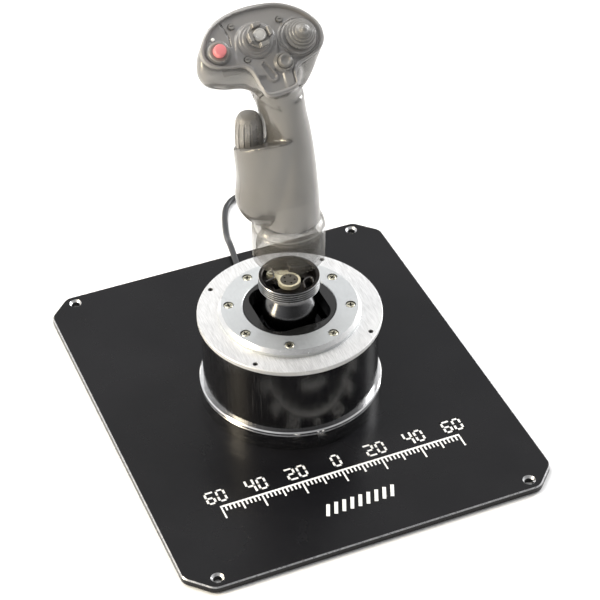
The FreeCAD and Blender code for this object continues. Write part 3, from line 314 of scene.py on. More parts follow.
def plastic(name, low, high, smooth, rough, scale=420, strength=0.08, distance=0.00008,
            **values):
    """Moulded plastic with a soft drift of tone; values go to the shader's sockets."""
    kit = MaterialKit(name)
    kit.color(kit.noise(26, 5), low, high)
    kit.roughness(kit.noise(90, 5), smooth, rough)
    kit.bump(kit.noise(scale, 4), strength, distance)
    kit.set(**values)
    return kit.material


def nut_smoke():
    """Smoked clear plastic: clearer at the nut's foot, denser towards its shoulder."""
    kit = MaterialKit("grip_smoke_faint")
    kit.color(kit.noise(26, 5), (0.06, 0.055, 0.045), (0.09, 0.083, 0.07))
    kit.roughness(kit.noise(90, 5), 0.16, 0.24)
    kit.set(Specular_IOR_Level=0.25)
    place = kit.node("ShaderNodeTexCoord")
    split = kit.node("ShaderNodeSeparateXYZ")
    rise = kit.node("ShaderNodeMapRange")
    low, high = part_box("lock_nut")
    for name, value in (("From Min", low.z), ("From Max", high.z), ("To Min", 0.28),
                        ("To Max", 0.6)):
        rise.inputs[name].default_value = value
    kit.link(place.outputs["Object"], split.inputs["Vector"])
    kit.link(split.outputs["Z"], rise.inputs["Value"])
    kit.link(rise.outputs["Result"], kit.shader.inputs["Alpha"])
    return kit.material


MATERIALS = {}


def make_materials():
    MATERIALS.update(
        plate=plate_enamel(),
        edge=bright_edge(),
        gloss_black=gloss_black(),
        rubber=plastic("foot_rubber", 0.02, 0.035, 0.7, 0.85, 900, 0.4),
        dark_screw=metal("blackened_steel", 0.05, 0.1, 0.3, 0.45),
        skirt=metal("skirt_steel", (0.2, 0.2, 0.205), (0.44, 0.44, 0.445), 0.14, 0.26, 160,
            (1, 1, 4)),
        bead=metal("bead_chrome", (0.78, 0.78, 0.79), (0.9, 0.9, 0.91), 0.08, 0.16),
        ring=metal("brushed_ring", 0.5, 0.86, 0.45, 0.6, 5200, (1, 0.03, 1),
            (0, 0, math.radians(-38)), 0.25, 0.00005, 3),
        disc=metal("satin_disc", (0.56, 0.575, 0.58), (0.61, 0.625, 0.63), 0.42, 0.5, 900,
            (1, 0.5, 1), strength=0.05),
        lip=metal("turned_lip", 0.93, 0.99, 0.2, 0.28, 500, strength=0.03),
        pale_screw=metal("pale_zinc", (0.42, 0.4, 0.31), (0.68, 0.65, 0.53), 0.2, 0.35, 900),
        gate=plastic("gate_black", 0.006, 0.012, 0.12, 0.2, 900, 0.05, Specular_IOR_Level=0.55),
        inner_metal=metal("inner_anodised", (0.02, 0.02, 0.021), (0.045, 0.045, 0.047), 0.32,
            0.48),
        board=plastic("solder_mask", (0.02, 0.13, 0.05), (0.04, 0.19, 0.08), 0.35, 0.5),
        cord=plastic("cord_vinyl", (0.02, 0.021, 0.024), (0.036, 0.037, 0.041), 0.3, 0.5, 700),
        spring=metal("spring_steel", (0.45, 0.45, 0.47), (0.62, 0.62, 0.64), 0.2, 0.32),
        dome=metal("dark_chrome", (0.06, 0.06, 0.062), (0.17, 0.17, 0.175), 0.08, 0.2, 2600,
            (1, 1, 1), (0, 0, 0), 0.5, 0.00005),
        collar=metal("turned_collar", (0.4, 0.4, 0.41), (0.58, 0.58, 0.59), 0.16, 0.24, 160,
            (1, 1, 0.4), strength=0.02),
        # near-black for the screws' cross recesses and sides: painted shade
        recess=plastic("recess_black", (0.01, 0.01, 0.009), (0.02, 0.02, 0.018), 0.4, 0.6),
        guide=plastic("guide_black", (0.03, 0.028, 0.026), (0.055, 0.05, 0.048), 0.16, 0.26, 900,
            0.1, Specular_IOR_Level=0.9),
        cream=plastic("cream_nylon", (0.62, 0.57, 0.4), (0.78, 0.73, 0.55), 0.38, 0.5),
        socket=plastic("socket_black", (0.05, 0.045, 0.035), (0.1, 0.09, 0.07), 0.3, 0.45),
        face=plastic("face_smoke", (0.235, 0.228, 0.222), (0.285, 0.277, 0.27), 0.16, 0.26, 900,
            0.1, Alpha=0.85, Specular_IOR_Level=0.9),
        bright_smoke=plastic("bezel_smoke", (0.22, 0.21, 0.19), (0.3, 0.29, 0.27), 0.2, 0.3, 900,
            0.1, Alpha=0.85, Specular_IOR_Level=0.8),
        dot=plastic("white_dot_plastic", (0.85, 0.85, 0.83), (0.95, 0.95, 0.93), 0.2, 0.3),
        print=plastic("printed_white", (0.8, 0.8, 0.79), (0.92, 0.92, 0.91), 0.45, 0.6, 1200,
            0.1),
        # near-black metal inside the collar's mouth: painted shade
        mouth=metal("mouth_painted_shade", (0.02, 0.018, 0.017), (0.05, 0.045, 0.042), 0.3, 0.45, 500),
        smoke=plastic("grip_smoke", (0.195, 0.188, 0.18), (0.235, 0.228, 0.218), 0.16, 0.24, 900,
            0.1, Alpha=0.8, Metallic=0.5),
        faint=nut_smoke(),
        # a lighter, denser copy of the nut's smoke for its shoulder ring: a painted highlight
        shoulder=plastic("nut_shoulder_highlight", (0.16, 0.155, 0.14), (0.22, 0.21, 0.19), 0.12, 0.2, 900,
            0.1, Alpha=0.55, Specular_IOR_Level=0.9),
        clear=plastic("clear_core", (0.2, 0.19, 0.17), (0.3, 0.29, 0.26), 0.45, 0.6, Alpha=0.035,
            Specular_IOR_Level=0.1),
        face_screw=plastic("face_screw_grey", (0.15, 0.147, 0.14), (0.24, 0.235, 0.225), 0.2, 0.3,
            900, 0.1),
        # a pale copy of the hat grey for the castle hat's button: a painted highlight
        pale_hat=plastic("hat_painted_highlight", (0.42, 0.41, 0.39), (0.52, 0.51, 0.49), 0.14, 0.22, 900, 0.1,
            Specular_IOR_Level=0.9),
        # dark metal for the collar's thread grooves: painted shade
        groove=metal("thread_groove_painted_shade", 0.04, 0.11, 0.25, 0.35),
        nylon=plastic("inner_nylon", (0.62, 0.61, 0.58), (0.74, 0.73, 0.7), 0.4, 0.55,
            Alpha=0.35),
        hat=plastic("hat_grey", (0.19, 0.185, 0.175), (0.27, 0.26, 0.25), 0.22, 0.34, Alpha=0.86,
            Specular_IOR_Level=0.75),
        red=plastic("button_red", (0.66, 0.19, 0.2), (0.78, 0.26, 0.27), 0.25, 0.35),
    )


# each look and the CAD nodes that wear it
LOOKS = {
    "plate": "base_plate", "rubber": "rubber_feet", "dark_screw": "base_screws ring_screws",
    "skirt": "skirt_ring", "bead": "bead_ring", "gloss_black": "housing_cylinder",
    "ring": "top_ring", "disc": "retainer_disc", "pale_screw": "disc_screws connector_screw",
    "gate": "gate_insert",
    "inner_metal": "base_floor pivot_frame gimbal_ring pivot_hub spring_cross",
    "board": "hall_board",
    "spring": "centring_spring_1 centring_spring_2 centring_spring_3 centring_spring_4 "
              "pitch_pins roll_pins sensor_magnet lever_pins",
    "cord": "cable_gland coil_tie usb_plug usb_cord_lead usb_cord_tail usb_cord_coil",
    "dome": "stick_dome", "collar": "threaded_collar", "cream": "connector_bracket",
    "socket": "din_socket", "clear": "grip_core din_plug slip_washer",
    "smoke": "handle_rear_shell handle_front_shell head_shell face_plate trigger pinky_lever",
    "face_screw": "face_screws", "nylon": "grip_board trim_rocker castle_rocker side_rocker",
    "faint": "lock_nut", "hat": "trim_hat castle_hat side_hat thumb_button",
    "red": "weapon_button",
}


def dress_nodes():
    for look, names in LOOKS.items():
        for name in names.split():
            mesh = NODES[name].data
            mesh.materials.clear()
            mesh.materials.append(MATERIALS[look])


# ---------------- shape building

def curve_between(before, start, end, beyond, t):
    """The point at t on the smooth (Catmull-Rom) curve from start to end."""
    return 0.5 * (2 * start + (end - before) * t
                  + (2 * before - 5 * start + 4 * end - beyond) * t ** 2
                  + (3 * start - before - 3 * end + beyond) * t ** 3)


def closed_spline(points, steps=16):
    """Points along a smooth closed curve through the given points."""
    corners = np.array(points, float)
    before, after, beyond = (np.roll(corners, shift, 0) for shift in (1, -1, -2))
    made = [curve_between(before, corners, after, beyond, t) for t in np.arange(steps) / steps]
    return np.stack(made, 1).reshape(-1, corners.shape[1])


def eased(table, count):
    """Rows of a table at even steps, eased between the rows given."""
    rows = np.array(table, float)
    rows = np.vstack([2 * rows[0] - rows[1], rows, 2 * rows[-1] - rows[-2]])
    made = []
    for s in np.linspace(0, len(table) - 1, count):
        i = min(int(s), len(table) - 2)
        made.append(curve_between(*rows[i:i + 4], s - i))
    return made


def skin(rings, closed_low=True):
    """Points and faces of a skin over rings that have the same count of points."""
    count = len(rings[0])
    vertices = [tuple(p) for ring in rings for p in ring]
    faces = []
    for low in range(0, (len(rings) - 1) * count, count):
        high = low + count
        for i in range(count):
            j = (i + 1) % count
            faces.append((low + i, low + j, high + j, high + i))
    if closed_low:
        faces.append(tuple(reversed(range(count))))
    faces.append(tuple(range((len(rings) - 1) * count, len(rings) * count)))
    return vertices, faces


def turned_mesh(profile, steps=72, reach=None):
    """A skin turned about the Z axis; reach(angle, radius, height) may change the radius."""
    rings = []
    for radius, height in profile:
        ring = []
        for i in range(steps):
            angle = math.tau * i / steps
            out = reach(angle, radius, height) if reach else radius
            ring.append((out * math.cos(angle), out * math.sin(angle), height))
        rings.append(ring)
    return skin(rings)


def placed(vertices, matrix):
    return [tuple(matrix @ Vector(v)) for v in vertices]


def joined(*parts):
    """Several (points, faces) as one."""
    vertices, faces = [], []
    for part_vertices, part_faces in parts:
        start = len(vertices)
        vertices += part_vertices
        faces += [tuple(start + i for i in face) for face in part_faces]
    return vertices, faces


def sharpen(thing, angle):
    thing.data.set_sharp_from_angle(angle=math.radians(angle))


# ---------------- grip: handle and head

FACE = Matrix.Translation((0, -3, 240)) @ Matrix.Rotation(math.radians(40), 4, "X")
FACE_MIDDLE = np.array((-9.0, 15.0))
FACE_STEPS = 240
# the shell under the face, as (x, up the face)
SHELL_OUTLINE = [
    (-43.5, 14.5), (-40.5, 23.0), (-33.0, 29.3), (-21.0, 34.0), (-7.0, 35.4), (6.0, 33.6),
    (16.5, 28.0), (22.6, 20.0), (23.2, 11.0), (18.0, 3.0), (11.0, -5.5), (4.0, -10.5),
    (-5.0, -10.5), (-12.5, -4.5), (-21.0, 2.6), (-32.0, 4.6), (-40.5, 8.0),
]
# the rim of the face, which runs down the neck as a narrow strip
RIM_OUTLINE = [
    (-43.7, 14.9), (-41.9, 20.2), (-37.2, 26.6), (-29.6, 31.8), (-18.0, 34.8), (-7.0, 35.15),
    (4.0, 33.8), (13.4, 29.4), (20.3, 23.2), (23.9, 16.2), (23.4, 9.4), (19.6, 4.4),
    (13.2, 1.4), (7.0, -0.8), (3.4, -4.2), (2.2, -8.8), (1.6, -12.4), (-6.0, -14.2),
    (-15.2, -13.8), (-17.6, -8.0), (-18.6, -3.0), (-20.4, 2.2), (-24.0, 4.8), (-31.0, 5.6),
    (-38.2, 7.4), (-42.2, 10.6),
]
# depth under the face, share of the rim's outline, growth, slide down the face
SHELL_RINGS = [
    (-2.7, 1.0, 0.55, 0.0), (-4.0, 0.8, 1.1, 1.4), (-6.5, 0.4, 2.0, 3.0),
    (-10.0, 0.0, 2.6, 4.4), (-14.0, 0.0, 2.2, 5.3), (-18.0, 0.0, 1.0, 5.6),
    (-22.0, 0.0, -1.2, 5.2), (-25.5, 0.0, -4.5, 4.2), (-28.5, 0.0, -8.6, 3.0),
    (-30.5, 0.0, -13.0, 2.0),
]
# height, centre x and y, half width, half depth
NECK = [(213.0, -2.2, 8.8, 11.4, 19.0), (219.0, -3.5, 9.1, 13.4, 19.5),
        (226.0, -4.0, 9.3, 14.8, 20.0), (233.0, -3.6, 9.6, 15.2, 20.5),
        (239.0, -2.0, 11.5, 13.6, 18.0)]
HANDLE_FOOT = 137.1
# height, centre y, half width left and right, half depth front and rear
HANDLE = [
    (126.0, 0.0, 16.8, 18.2, 17.3, 17.3), (140.0, 1.0, 17.0, 18.3, 20.0, 19.5),
    (156.0, 2.2, 16.6, 17.6, 21.5, 20.5), (170.0, 3.5, 13.6, 16.9, 22.0, 20.5),
    (183.0, 5.0, 10.8, 16.0, 21.5, 20.0), (195.0, 6.5, 11.0, 14.6, 20.5, 19.5),
    (207.0, 7.8, 13.2, 12.6, 19.5, 19.2), (219.0, 9.2, 17.2, 11.4, 19.0, 19.6),
]
# height, half width, half depth
LOBE = [(134.6, 8.0, 11.0), (138.8, 12.6, 14.5), (144.6, 15.7, 16.8), (151.0, 16.5, 17.5),
        (158.0, 15.8, 17.2), (164.0, 15.4, 17.1), (171.0, 15.8, 17.3), (178.0, 16.4, 17.6),
        (183.0, 16.6, 17.7), (192.0, 16.4, 17.6), (202.0, 16.2, 17.5)]
LOBE_CENTRE = (-11.5, 6.5)
# fills the hollow between the lobe and the handle
BRIDGE = [(134.6, 10.0, 9.0), (139.0, 15.6, 14.6), (146.0, 18.6, 17.6), (160.0, 19.0, 18.6),
          (174.0, 18.0, 18.6), (186.0, 16.0, 18.4), (198.0, 14.0, 18.0)]
BRIDGE_CENTRE = (-6.0, 4.4)
LEDGE_HEIGHT, LEDGE_SLOPE = 189.7, 0.53
SIDE_HAT, SIDE_HAT_HEIGHT = (-18.4, 10.2), 183.0
SHELL_SPLIT, SPLIT_GAP, SEAM_GAP = 4, 0.12, 0.4
NECK_CAP_DEPTH = -3.3
FAR = 400.0


def outline_reach(points):
    """Even angles round the face's middle, and the reach of a closed outline at each."""
    dense = closed_spline(points) - FACE_MIDDLE
    angle = np.arctan2(dense[:, 1], dense[:, 0])
    order = np.argsort(angle)
    even = np.linspace(-math.pi, math.pi, FACE_STEPS, endpoint=False)
    return even, np.interp(even, angle[order], np.hypot(dense[:, 0], dense[:, 1])[order],
                           period=math.tau)


SHELL_REACH = outline_reach(SHELL_OUTLINE)[1]
FACE_ANGLES, RIM_REACH = outline_reach(RIM_OUTLINE)
FACE_WAYS = np.stack((np.cos(FACE_ANGLES), np.sin(FACE_ANGLES)), 1)


def face_ring(reach, depth, slide=0.0):
    """A ring under the face; it slides down the face on its left side only."""
    flat = FACE_MIDDLE + FACE_WAYS * np.asarray(reach)[:, None]
    share = np.clip((4.0 - flat[:, 0]) / 20.0, 0, 1)
    flat[:, 1] -= slide * share * share * (3 - 2 * share)
    return [tuple(FACE @ Vector((x, up, depth))) for x, up in flat]


def oval(height, centre, left, right, front, rear, steps=96):
    """A level ring with its own reach to each of the four sides."""
    ring = []
    for i in range(steps):
        angle = math.tau * i / steps
        c, s = math.cos(angle), math.sin(angle)
        ring.append((centre[0] + (right if c > 0 else left) * c,
                     centre[1] + (front if s > 0 else rear) * s, height))
    return ring


def under_ledge(rings):
    """Rings pressed down to the sloping ledge that the side hat stands on."""
    return [[(x, y, min(z, LEDGE_HEIGHT - LEDGE_SLOPE * y)) for x, y, z in ring]
            for ring in rings]


def grip_blank():
    """Handle, thumb lobe, neck and head as one smooth closed mesh."""
    rings = [face_ring(share * RIM_REACH + (1 - share) * SHELL_REACH + growth, depth, slide)
             for depth, share, growth, slide in reversed(SHELL_RINGS)]
    head = skin(rings)
    neck = skin([oval(z, (x, y), wide, wide, deep, deep)
                 for z, x, y, wide, deep in eased(NECK, 16)])
    handle = skin([oval(z, (0, y), left, right, front, rear)
                   for z, y, left, right, front, rear in eased(HANDLE, 60)])
    lobe, bridge = (skin(under_ledge([oval(z, centre, wide, wide, deep, deep)
                                      for z, wide, deep in eased(table, 48)]))
                    for table, centre in ((LOBE, LOBE_CENTRE), (BRIDGE, BRIDGE_CENTRE)))
    thing = mesh_object("grip_blank", *joined(head, neck, handle, lobe, bridge),
                        MATERIALS["smoke"])
    remesh = thing.modifiers.new("Remesh", "REMESH")
    remesh.mode = "VOXEL"
    remesh.voxel_size = 0.85 * MM
    smooth = thing.modifiers.new("Smooth", "SMOOTH")
    smooth.factor = 0.5
    smooth.iterations = 14
    apply_modifiers(thing)
    return thing


# the seam between head and handle from the side, as (y, height)
SEAM = [(-40.0, 231.0), (-10.7, 229.4), (-8.7, 228.4), (-5.3, 226.0), (-3.0, 223.6),
        (-0.6, 220.6), (2.4, 223.9), (5.6, 219.3), (9.0, 214.6), (14.0, 209.0), (40.0, 208.0)]


def seam_cutter(name, lift, over):
    """A block that covers everything over or under the lifted seam."""
    far = FAR if over else -FAR
    line = [(y, z + lift) for y, z in SEAM]
    rings = [[(x, y, z) for y, z in line] + [(x, line[-1][0], far), (x, line[0][0], far)]
             for x in (-90, 90)]
    vertices, faces = skin(rings)
    thing = mesh_object(name, vertices, faces, MATERIALS["smoke"], smooth=False)
    face_outwards(thing)
    return thing


def well_cutter():
    """The round well in the ledge that the side hat stands in."""
    vertices, faces = turned_mesh([(0.3, 182.7), (9.3, 182.7), (10.1, 194.0), (10.2, 202.0),
                                   (8.6, 206.0), (4.0, 208.5), (0.3, 209.0)], 96)
    place = Matrix.Translation((*SIDE_HAT, 0))
    return mesh_object("well", placed(vertices, place), faces, MATERIALS["smoke"])


def trimmed(source, name, *cutters):
    """A copy of source without what the cutters cover; the cutters are used up."""
    thing = copy_object(source, name)
    for cutter in cutters:
        cut = thing.modifiers.new("Cut", "BOOLEAN")
        cut.operation = "DIFFERENCE"
        cut.solver = "EXACT"
        cut.object = cutter
    apply_modifiers(thing)
    for cutter in cutters:
        bpy.data.objects.remove(cutter)
    return thing


def split_at(thing, place, way, name):
    """Cuts thing at a plane; the part beyond it, across a small gap, becomes a new object."""
    other = copy_object(thing, name)
    for part, sign in ((thing, 1), (other, -1)):
        shape = bmesh.new()
        shape.from_mesh(part.data)
        geometry = shape.verts[:] + shape.edges[:] + shape.faces[:]
        spot = (Vector(place) + Vector(way) * (-SPLIT_GAP * sign)) * MM
        cut = bmesh.ops.bisect_plane(shape, geom=geometry, plane_co=spot,
                                     plane_no=Vector(way) * sign, clear_outer=True)
        edges = [e for e in cut["geom_cut"] if isinstance(e, bmesh.types.BMEdge)]
        bmesh.ops.holes_fill(shape, edges=edges, sides=0)
        shape.to_mesh(part.data)
        shape.free()
    return other


def sink_cap(thing):
    """Lowers whatever the neck pushes up through the face floor."""
    back = FACE.inverted()
    for vertex in thing.data.vertices:
        place = back @ (vertex.co / MM)
        if place.z > NECK_CAP_DEPTH:
            way = np.array((place.x, place.y)) - FACE_MIDDLE
            reach = np.interp(math.atan2(way[1], way[0]), FACE_ANGLES, RIM_REACH,
                              period=math.tau)
            if math.hypot(*way) < reach + 0.2:
                place.z = NECK_CAP_DEPTH
                vertex.co = FACE @ place * MM


def make_grip_shells():
    """Head, front and rear shell, cut from the blank at the seams."""
    blank = grip_blank()
    sink_cap(blank)
    head = trimmed(blank, "head_shell_form", seam_cutter("below", SEAM_GAP, over=False))
    handle = trimmed(blank, "handle_form", seam_cutter("above", -SEAM_GAP, over=True),
                     well_cutter())
    bpy.data.objects.remove(blank)
    below = split_at(handle, (0, 0, HANDLE_FOOT), (0, 0, -1), "below_foot")
    bpy.data.objects.remove(below)
    front = split_at(handle, (0, SHELL_SPLIT, 0), (0, 1, 0), "handle_front_form")
    handle.name = "handle_rear_form"
    for thing, node in ((head, "head_shell"), (handle, "handle_rear_shell"),
                        (front, "handle_front_shell")):
        thing.data.materials.clear()
        thing.data.materials.append(MATERIALS["smoke"])
        sharpen(thing, 62)
        finish_piece(thing, "grip", "grip_smoke", node)


# ---------------- grip: the face

TRIM, CASTLE, RED, LOW_BUTTON = (10.6, 13.4), (-12.5, 17.0), (-34.7, 14.5), (-1.5, 1.6)
FACE_DOT = (-35.4, 22.3)
FACE_SCREWS = [(3.3, 25.2), (-23.5, 27.0), (-20.5, 7.4)]
PANEL_SEAM = [(-29.9, 33.5), (-28.4, 29.0), (-27.0, 25.0), (-26.4, 20.9), (-26.6, 16.5)]
FLOOR_DEPTH = -1.9
CLEARANCE_DEPTH = FLOOR_DEPTH - 1.2


def step(distance, edge, width=0.7):
    """1 inside an edge, 0 outside, eased across the width."""
    t = np.clip((edge + width / 2 - distance) / width, 0, 1)
    return t * t * (3 - 2 * t)


def ridge(distance, at, width):
    """A soft ridge at a distance."""
    return np.exp(-((distance - at) / width) ** 2)


def to_segment(x, up, start, end):
    """Distance to a segment, and how far along it the nearest point is."""
    ax, au = start
    bx, bu = end
    length = (bx - ax) ** 2 + (bu - au) ** 2
    t = np.clip(((x - ax) * (bx - ax) + (up - au) * (bu - au)) / length, 0, 1)
    return np.hypot(x - ax - t * (bx - ax), up - au - t * (bu - au)), t


def face_height(x, up):
    """Height of the face floor over its own plane: pads, bezels, steps and grooves."""
    height = np.full_like(x, FLOOR_DEPTH)
    trim = np.hypot(x - TRIM[0], up - TRIM[1])
    castle = np.hypot(x - CASTLE[0], up - CASTLE[1])
    red = np.hypot(x - RED[0], up - RED[1])
    low = np.hypot(x - LOW_BUTTON[0], up - LOW_BUTTON[1])

    # valley between the left panel and the castle pad, and the pad itself
    height += -1.1 * np.exp(-((x + 24.0) / 2.6) ** 2 - ((up - 22.5) / 6.0) ** 2)
    pad, _ = to_segment(x, up, (-12.8, 15.0), (-14.5, 8.0))
    height = np.maximum(height, FLOOR_DEPTH + 1.0 * step(pad, 11.6, 1.6))
    stairs = step(castle, 9.4, 0.5) * 0.55 + step(castle, 7.7, 0.5) * 0.65
    low_side = step(up, CASTLE[1] - 2.0, 6.0)
    left_side = step(x, CASTLE[0] - 4.0, 5.0)
    height += stairs * (0.45 + 0.55 * np.maximum(low_side, left_side))
    height -= 0.55 * ridge(castle, 10.6, 0.35) * low_side

    # trim hat bezel: three rings that rise inwards
    height = np.maximum(height, FLOOR_DEPTH + 1.3 * step(trim, 11.0, 0.8))
    height += 0.65 * step(trim, 9.5, 0.5) - 0.5 * ridge(trim, 10.1, 0.28)
    height += 0.9 * step(trim, 11.9, 0.5) * step(up, TRIM[1] - 3.5, 3.0) * 0.5

    # neck strip: a bar from the lower button, and the long slot beside it
    bar, along = to_segment(x, up, (-1.0, 0.0), (-1.5, -13.0))
    height = np.maximum(height, FLOOR_DEPTH + (1.9 - 0.9 * along) * step(bar, 2.6, 1.4))
    slot, _ = to_segment(x, up, (-12.3, 2.6), (-9.4, -4.6))
    height = np.maximum(height, FLOOR_DEPTH + 1.15 * step(slot, 2.9, 1.0))
    height -= 2.3 * step(slot, 1.35, 0.5)
    fan, _ = to_segment(x, up, (-11.0, 4.5), (-4.5, 10.0))
    height = np.maximum(height, FLOOR_DEPTH + 0.8 * step(fan, 2.2, 2.4))

    # lower button boss and red button boss
    height = np.maximum(height, FLOOR_DEPTH + 2.3 * step(low, 5.6, 0.9))
    height -= 0.7 * step(low, 4.5, 0.5)
    height = np.maximum(height, FLOOR_DEPTH + 1.5 * step(red, 6.4, 1.2))
    height += 0.8 * step(red, 5.3, 0.5)

    # the panel seam, and the screws' sinks
    for start, end in zip(PANEL_SEAM, PANEL_SEAM[1:]):
        gap, _ = to_segment(x, up, start, end)
        height -= 0.6 * step(gap, 0.28, 0.35)
    for spot in FACE_SCREWS:
        height -= 0.8 * step(np.hypot(x - spot[0], up - spot[1]), 1.8, 0.4)
    # clearances that the buttons and hats move in
    for distance, reach in ((castle, 5.5), (trim, 7.6), (red, 4.25), (low, 3.95)):
        height = np.where(distance < reach, CLEARANCE_DEPTH, height)
    return height


def make_face():
    """The face plate: a rim with a rounded top and a floor shaped by face_height."""
    rim_profile = [(0.75, -3.4), (0.8, -1.2), (0.55, -0.35), (0.0, 0.0), (-0.75, 0.0),
                   (-1.25, -0.3), (-1.6, -1.0)]
    rings = [face_ring(RIM_REACH + growth, depth) for growth, depth in rim_profile]
    inner = RIM_REACH - 2.0
    for share in np.linspace(1.0, 0.02, 120):
        flat = FACE_MIDDLE + FACE_WAYS * (inner * share)[:, None]
        heights = face_height(flat[:, 0], flat[:, 1])
        rings.append([tuple(FACE @ Vector((x, up, h)))
                      for (x, up), h in zip(flat, heights)])
    vertices, faces = skin(rings, closed_low=False)
    plate = mesh_object("face_plate_form", vertices, faces, MATERIALS["face"])
    sharpen(plate, 50)
    finish_piece(plate, "grip", "grip_smoke", "face_plate")


# ---------------- controls

def face_spot(spot):
    return FACE @ Matrix.Translation((spot[0], spot[1], 0))


def control(name, parts, matrix, material, body, slot, *replaced, angle=30):
    """A piece made of one or more closed parts, set in place and finished."""
    vertices, faces = joined(*parts)
    thing = mesh_object(name, placed(vertices, matrix), faces, material)
    face_outwards(thing)
    sharpen(thing, angle)
    finish_piece(thing, body, slot, *replaced)


# profiles are rows of (radius, height)
STEM = [(2.4, -6.0), (2.6, -4.0), (2.3, -1.5)]


def make_trim_hat():
    """A stepped cone."""
    cap = [(2.3, -1.5), (2.3, 2.2), (7.4, 2.2), (8.3, 2.6), (8.5, 3.3), (8.4, 4.4),
           (7.9, 4.9), (7.0, 5.0), (6.9, 5.3), (6.9, 6.2), (6.5, 6.6), (5.7, 6.7),
           (5.6, 7.0), (5.6, 7.7), (5.2, 8.1), (4.4, 8.2), (4.3, 8.5), (4.2, 9.1),
           (3.8, 9.5), (3.1, 9.7), (2.4, 10.1), (1.9, 10.8), (1.7, 11.5), (1.2, 12.0),
           (0.6, 12.25)]
    control("trim_hat_form", [turned_mesh(STEM + cap)], face_spot(TRIM), MATERIALS["hat"],
            "trim_hat", "hat_grey", "trim_hat")


def make_castle_hat():
    """Four upright tabs round a button painted pale as a highlight."""
    base = turned_mesh(STEM + [(2.3, 1.6), (4.6, 1.8), (5.0, 2.4), (5.1, 3.6), (5.4, 4.2),
                               (6.2, 4.5), (6.5, 5.0), (6.5, 5.7), (6.1, 6.0), (4.6, 6.0)])
    tabs = []
    for quarter in range(4):
        corners = []
        for height, inner, outer, half in ((5.6, 4.3, 6.6, 2.5), (9.1, 4.5, 6.5, 2.4),
                                           (9.5, 4.8, 6.2, 2.1)):
            corners.append([Vector((reach, side * half, height)) for reach, side in
                            ((inner, -1), (outer, -1), (outer + 0.25, -0.4),
                             (outer + 0.25, 0.4), (outer, 1), (inner, 1))])
        turn = Matrix.Rotation(math.radians(8 + 90 * quarter), 4, "Z")
        tabs.append(skin([[tuple(turn @ p) for p in ring] for ring in corners]))
    control("castle_hat_form", [base] + tabs, face_spot(CASTLE), MATERIALS["hat"],
            "castle_hat", "hat_grey", "castle_hat")
    button = turned_mesh([(3.5, 5.4), (3.5, 7.6), (3.3, 8.1), (2.6, 8.25), (2.3, 8.1),
                          (2.1, 8.3), (0.5, 8.5)])
    # the button's pale grey is a painted highlight
    control("castle_hat_button", [button], face_spot(CASTLE), MATERIALS["pale_hat"],
            "castle_hat", "hat_grey")


def make_side_hat():
    """A tall knob with flat facets, cut by grips between them, and a faceted top."""
    facets = 14

    def reach(angle, radius, height):
        if radius < 6.0:
            return radius
        part = (angle / math.tau * facets) % 1.0
        flat = math.cos(math.pi / facets) / math.cos((part - 0.5) * math.tau / facets)
        groove = 0.55 if (part < 0.14 or part > 0.86) and height < 18.6 else 0.0
        return radius * flat - groove

    profile = STEM + [(2.3, 0.7), (6.9, 0.7), (7.7, 1.0), (8.0, 2.0), (8.0, 9.0),
                      (7.8, 14.0), (7.4, 17.0), (6.7, 19.0), (5.7, 20.4)]
    top = [(4.6, 21.1), (3.0, 21.5), (1.5, 21.7), (0.4, 21.8)]
    spot = Matrix.Translation((*SIDE_HAT, SIDE_HAT_HEIGHT))
    control("side_hat_form", [turned_mesh(profile + top, 168, reach)], spot,
            MATERIALS["hat"], "side_hat", "hat_grey", "side_hat", angle=14)


def make_buttons():
    """The red and the lower button with their bezels, and a small white dot on the face."""
    red = [(1.5, -9.3), (1.5, -2.5), (3.9, -2.5), (3.9, -1.0), (3.45, -0.6), (3.45, 3.6),
           (3.3, 4.2), (2.9, 4.65), (2.0, 4.85), (0.8, 4.9)]
    control("weapon_button_form", [turned_mesh(red)], face_spot(RED), MATERIALS["red"],
            "weapon_button", "button_red", "weapon_button")
    bezel = [(4.25, -2.4), (5.6, -2.4), (5.6, 0.5), (5.3, 0.95), (4.7, 1.1), (4.3, 0.9)]
    control("weapon_button_bezel", [turned_mesh(bezel)], face_spot(RED),
            MATERIALS["bright_smoke"], "grip", "grip_smoke")
    low = [(1.3, -9.3), (1.3, -2.1), (3.6, -2.1), (3.7, -1.6), (3.7, 2.2), (3.5, 2.9),
           (3.0, 3.3), (2.5, 3.3), (2.1, 2.9), (1.6, 2.6), (0.6, 2.5)]
    control("thumb_button_form", [turned_mesh(low)], face_spot(LOW_BUTTON),
            MATERIALS["hat"], "thumb_button", "hat_grey", "thumb_button")
    bezel = [(3.95, -2.4), (4.9, -2.4), (4.9, 0.35), (4.6, 0.7), (4.2, 0.7), (3.95, 0.4)]
    control("thumb_button_bezel", [turned_mesh(bezel)], face_spot(LOW_BUTTON),
            MATERIALS["bright_smoke"], "grip", "grip_smoke")
    # a small white disc on the face
    dot = [(1.0, -2.0), (1.0, -1.1), (0.75, -0.85), (0.3, -0.75)]
    control("face_white_dot", [turned_mesh(dot, 32)], face_spot(FACE_DOT),
            MATERIALS["dot"], "grip", "face_screw_grey")


def make_trigger():
    """A slim curved blade that hangs from its pin behind the neck."""
    # height, centre y, half width, half depth
    rows = [(187.9, 38.4, 1.4, 0.8), (188.6, 38.0, 2.8, 1.3), (191.0, 36.8, 3.6, 1.7),
            (196.0, 35.2, 3.8, 1.9), (202.0, 34.0, 3.8, 2.2), (209.0, 33.0, 3.7, 2.8),
            (214.5, 32.0, 3.6, 3.4), (217.0, 31.4, 3.0, 2.6), (218.2, 31.2, 1.4, 1.2)]
    blade = skin([oval(z, (0, y), half, half, deep, deep, 48)
                  for z, y, half, deep in eased(rows, 40)])
    control("trigger_form", [blade], Matrix.Identity(4), MATERIALS["smoke"], "trigger",
            "grip_smoke", "trigger", angle=60)


# ---------------- stick end and screws

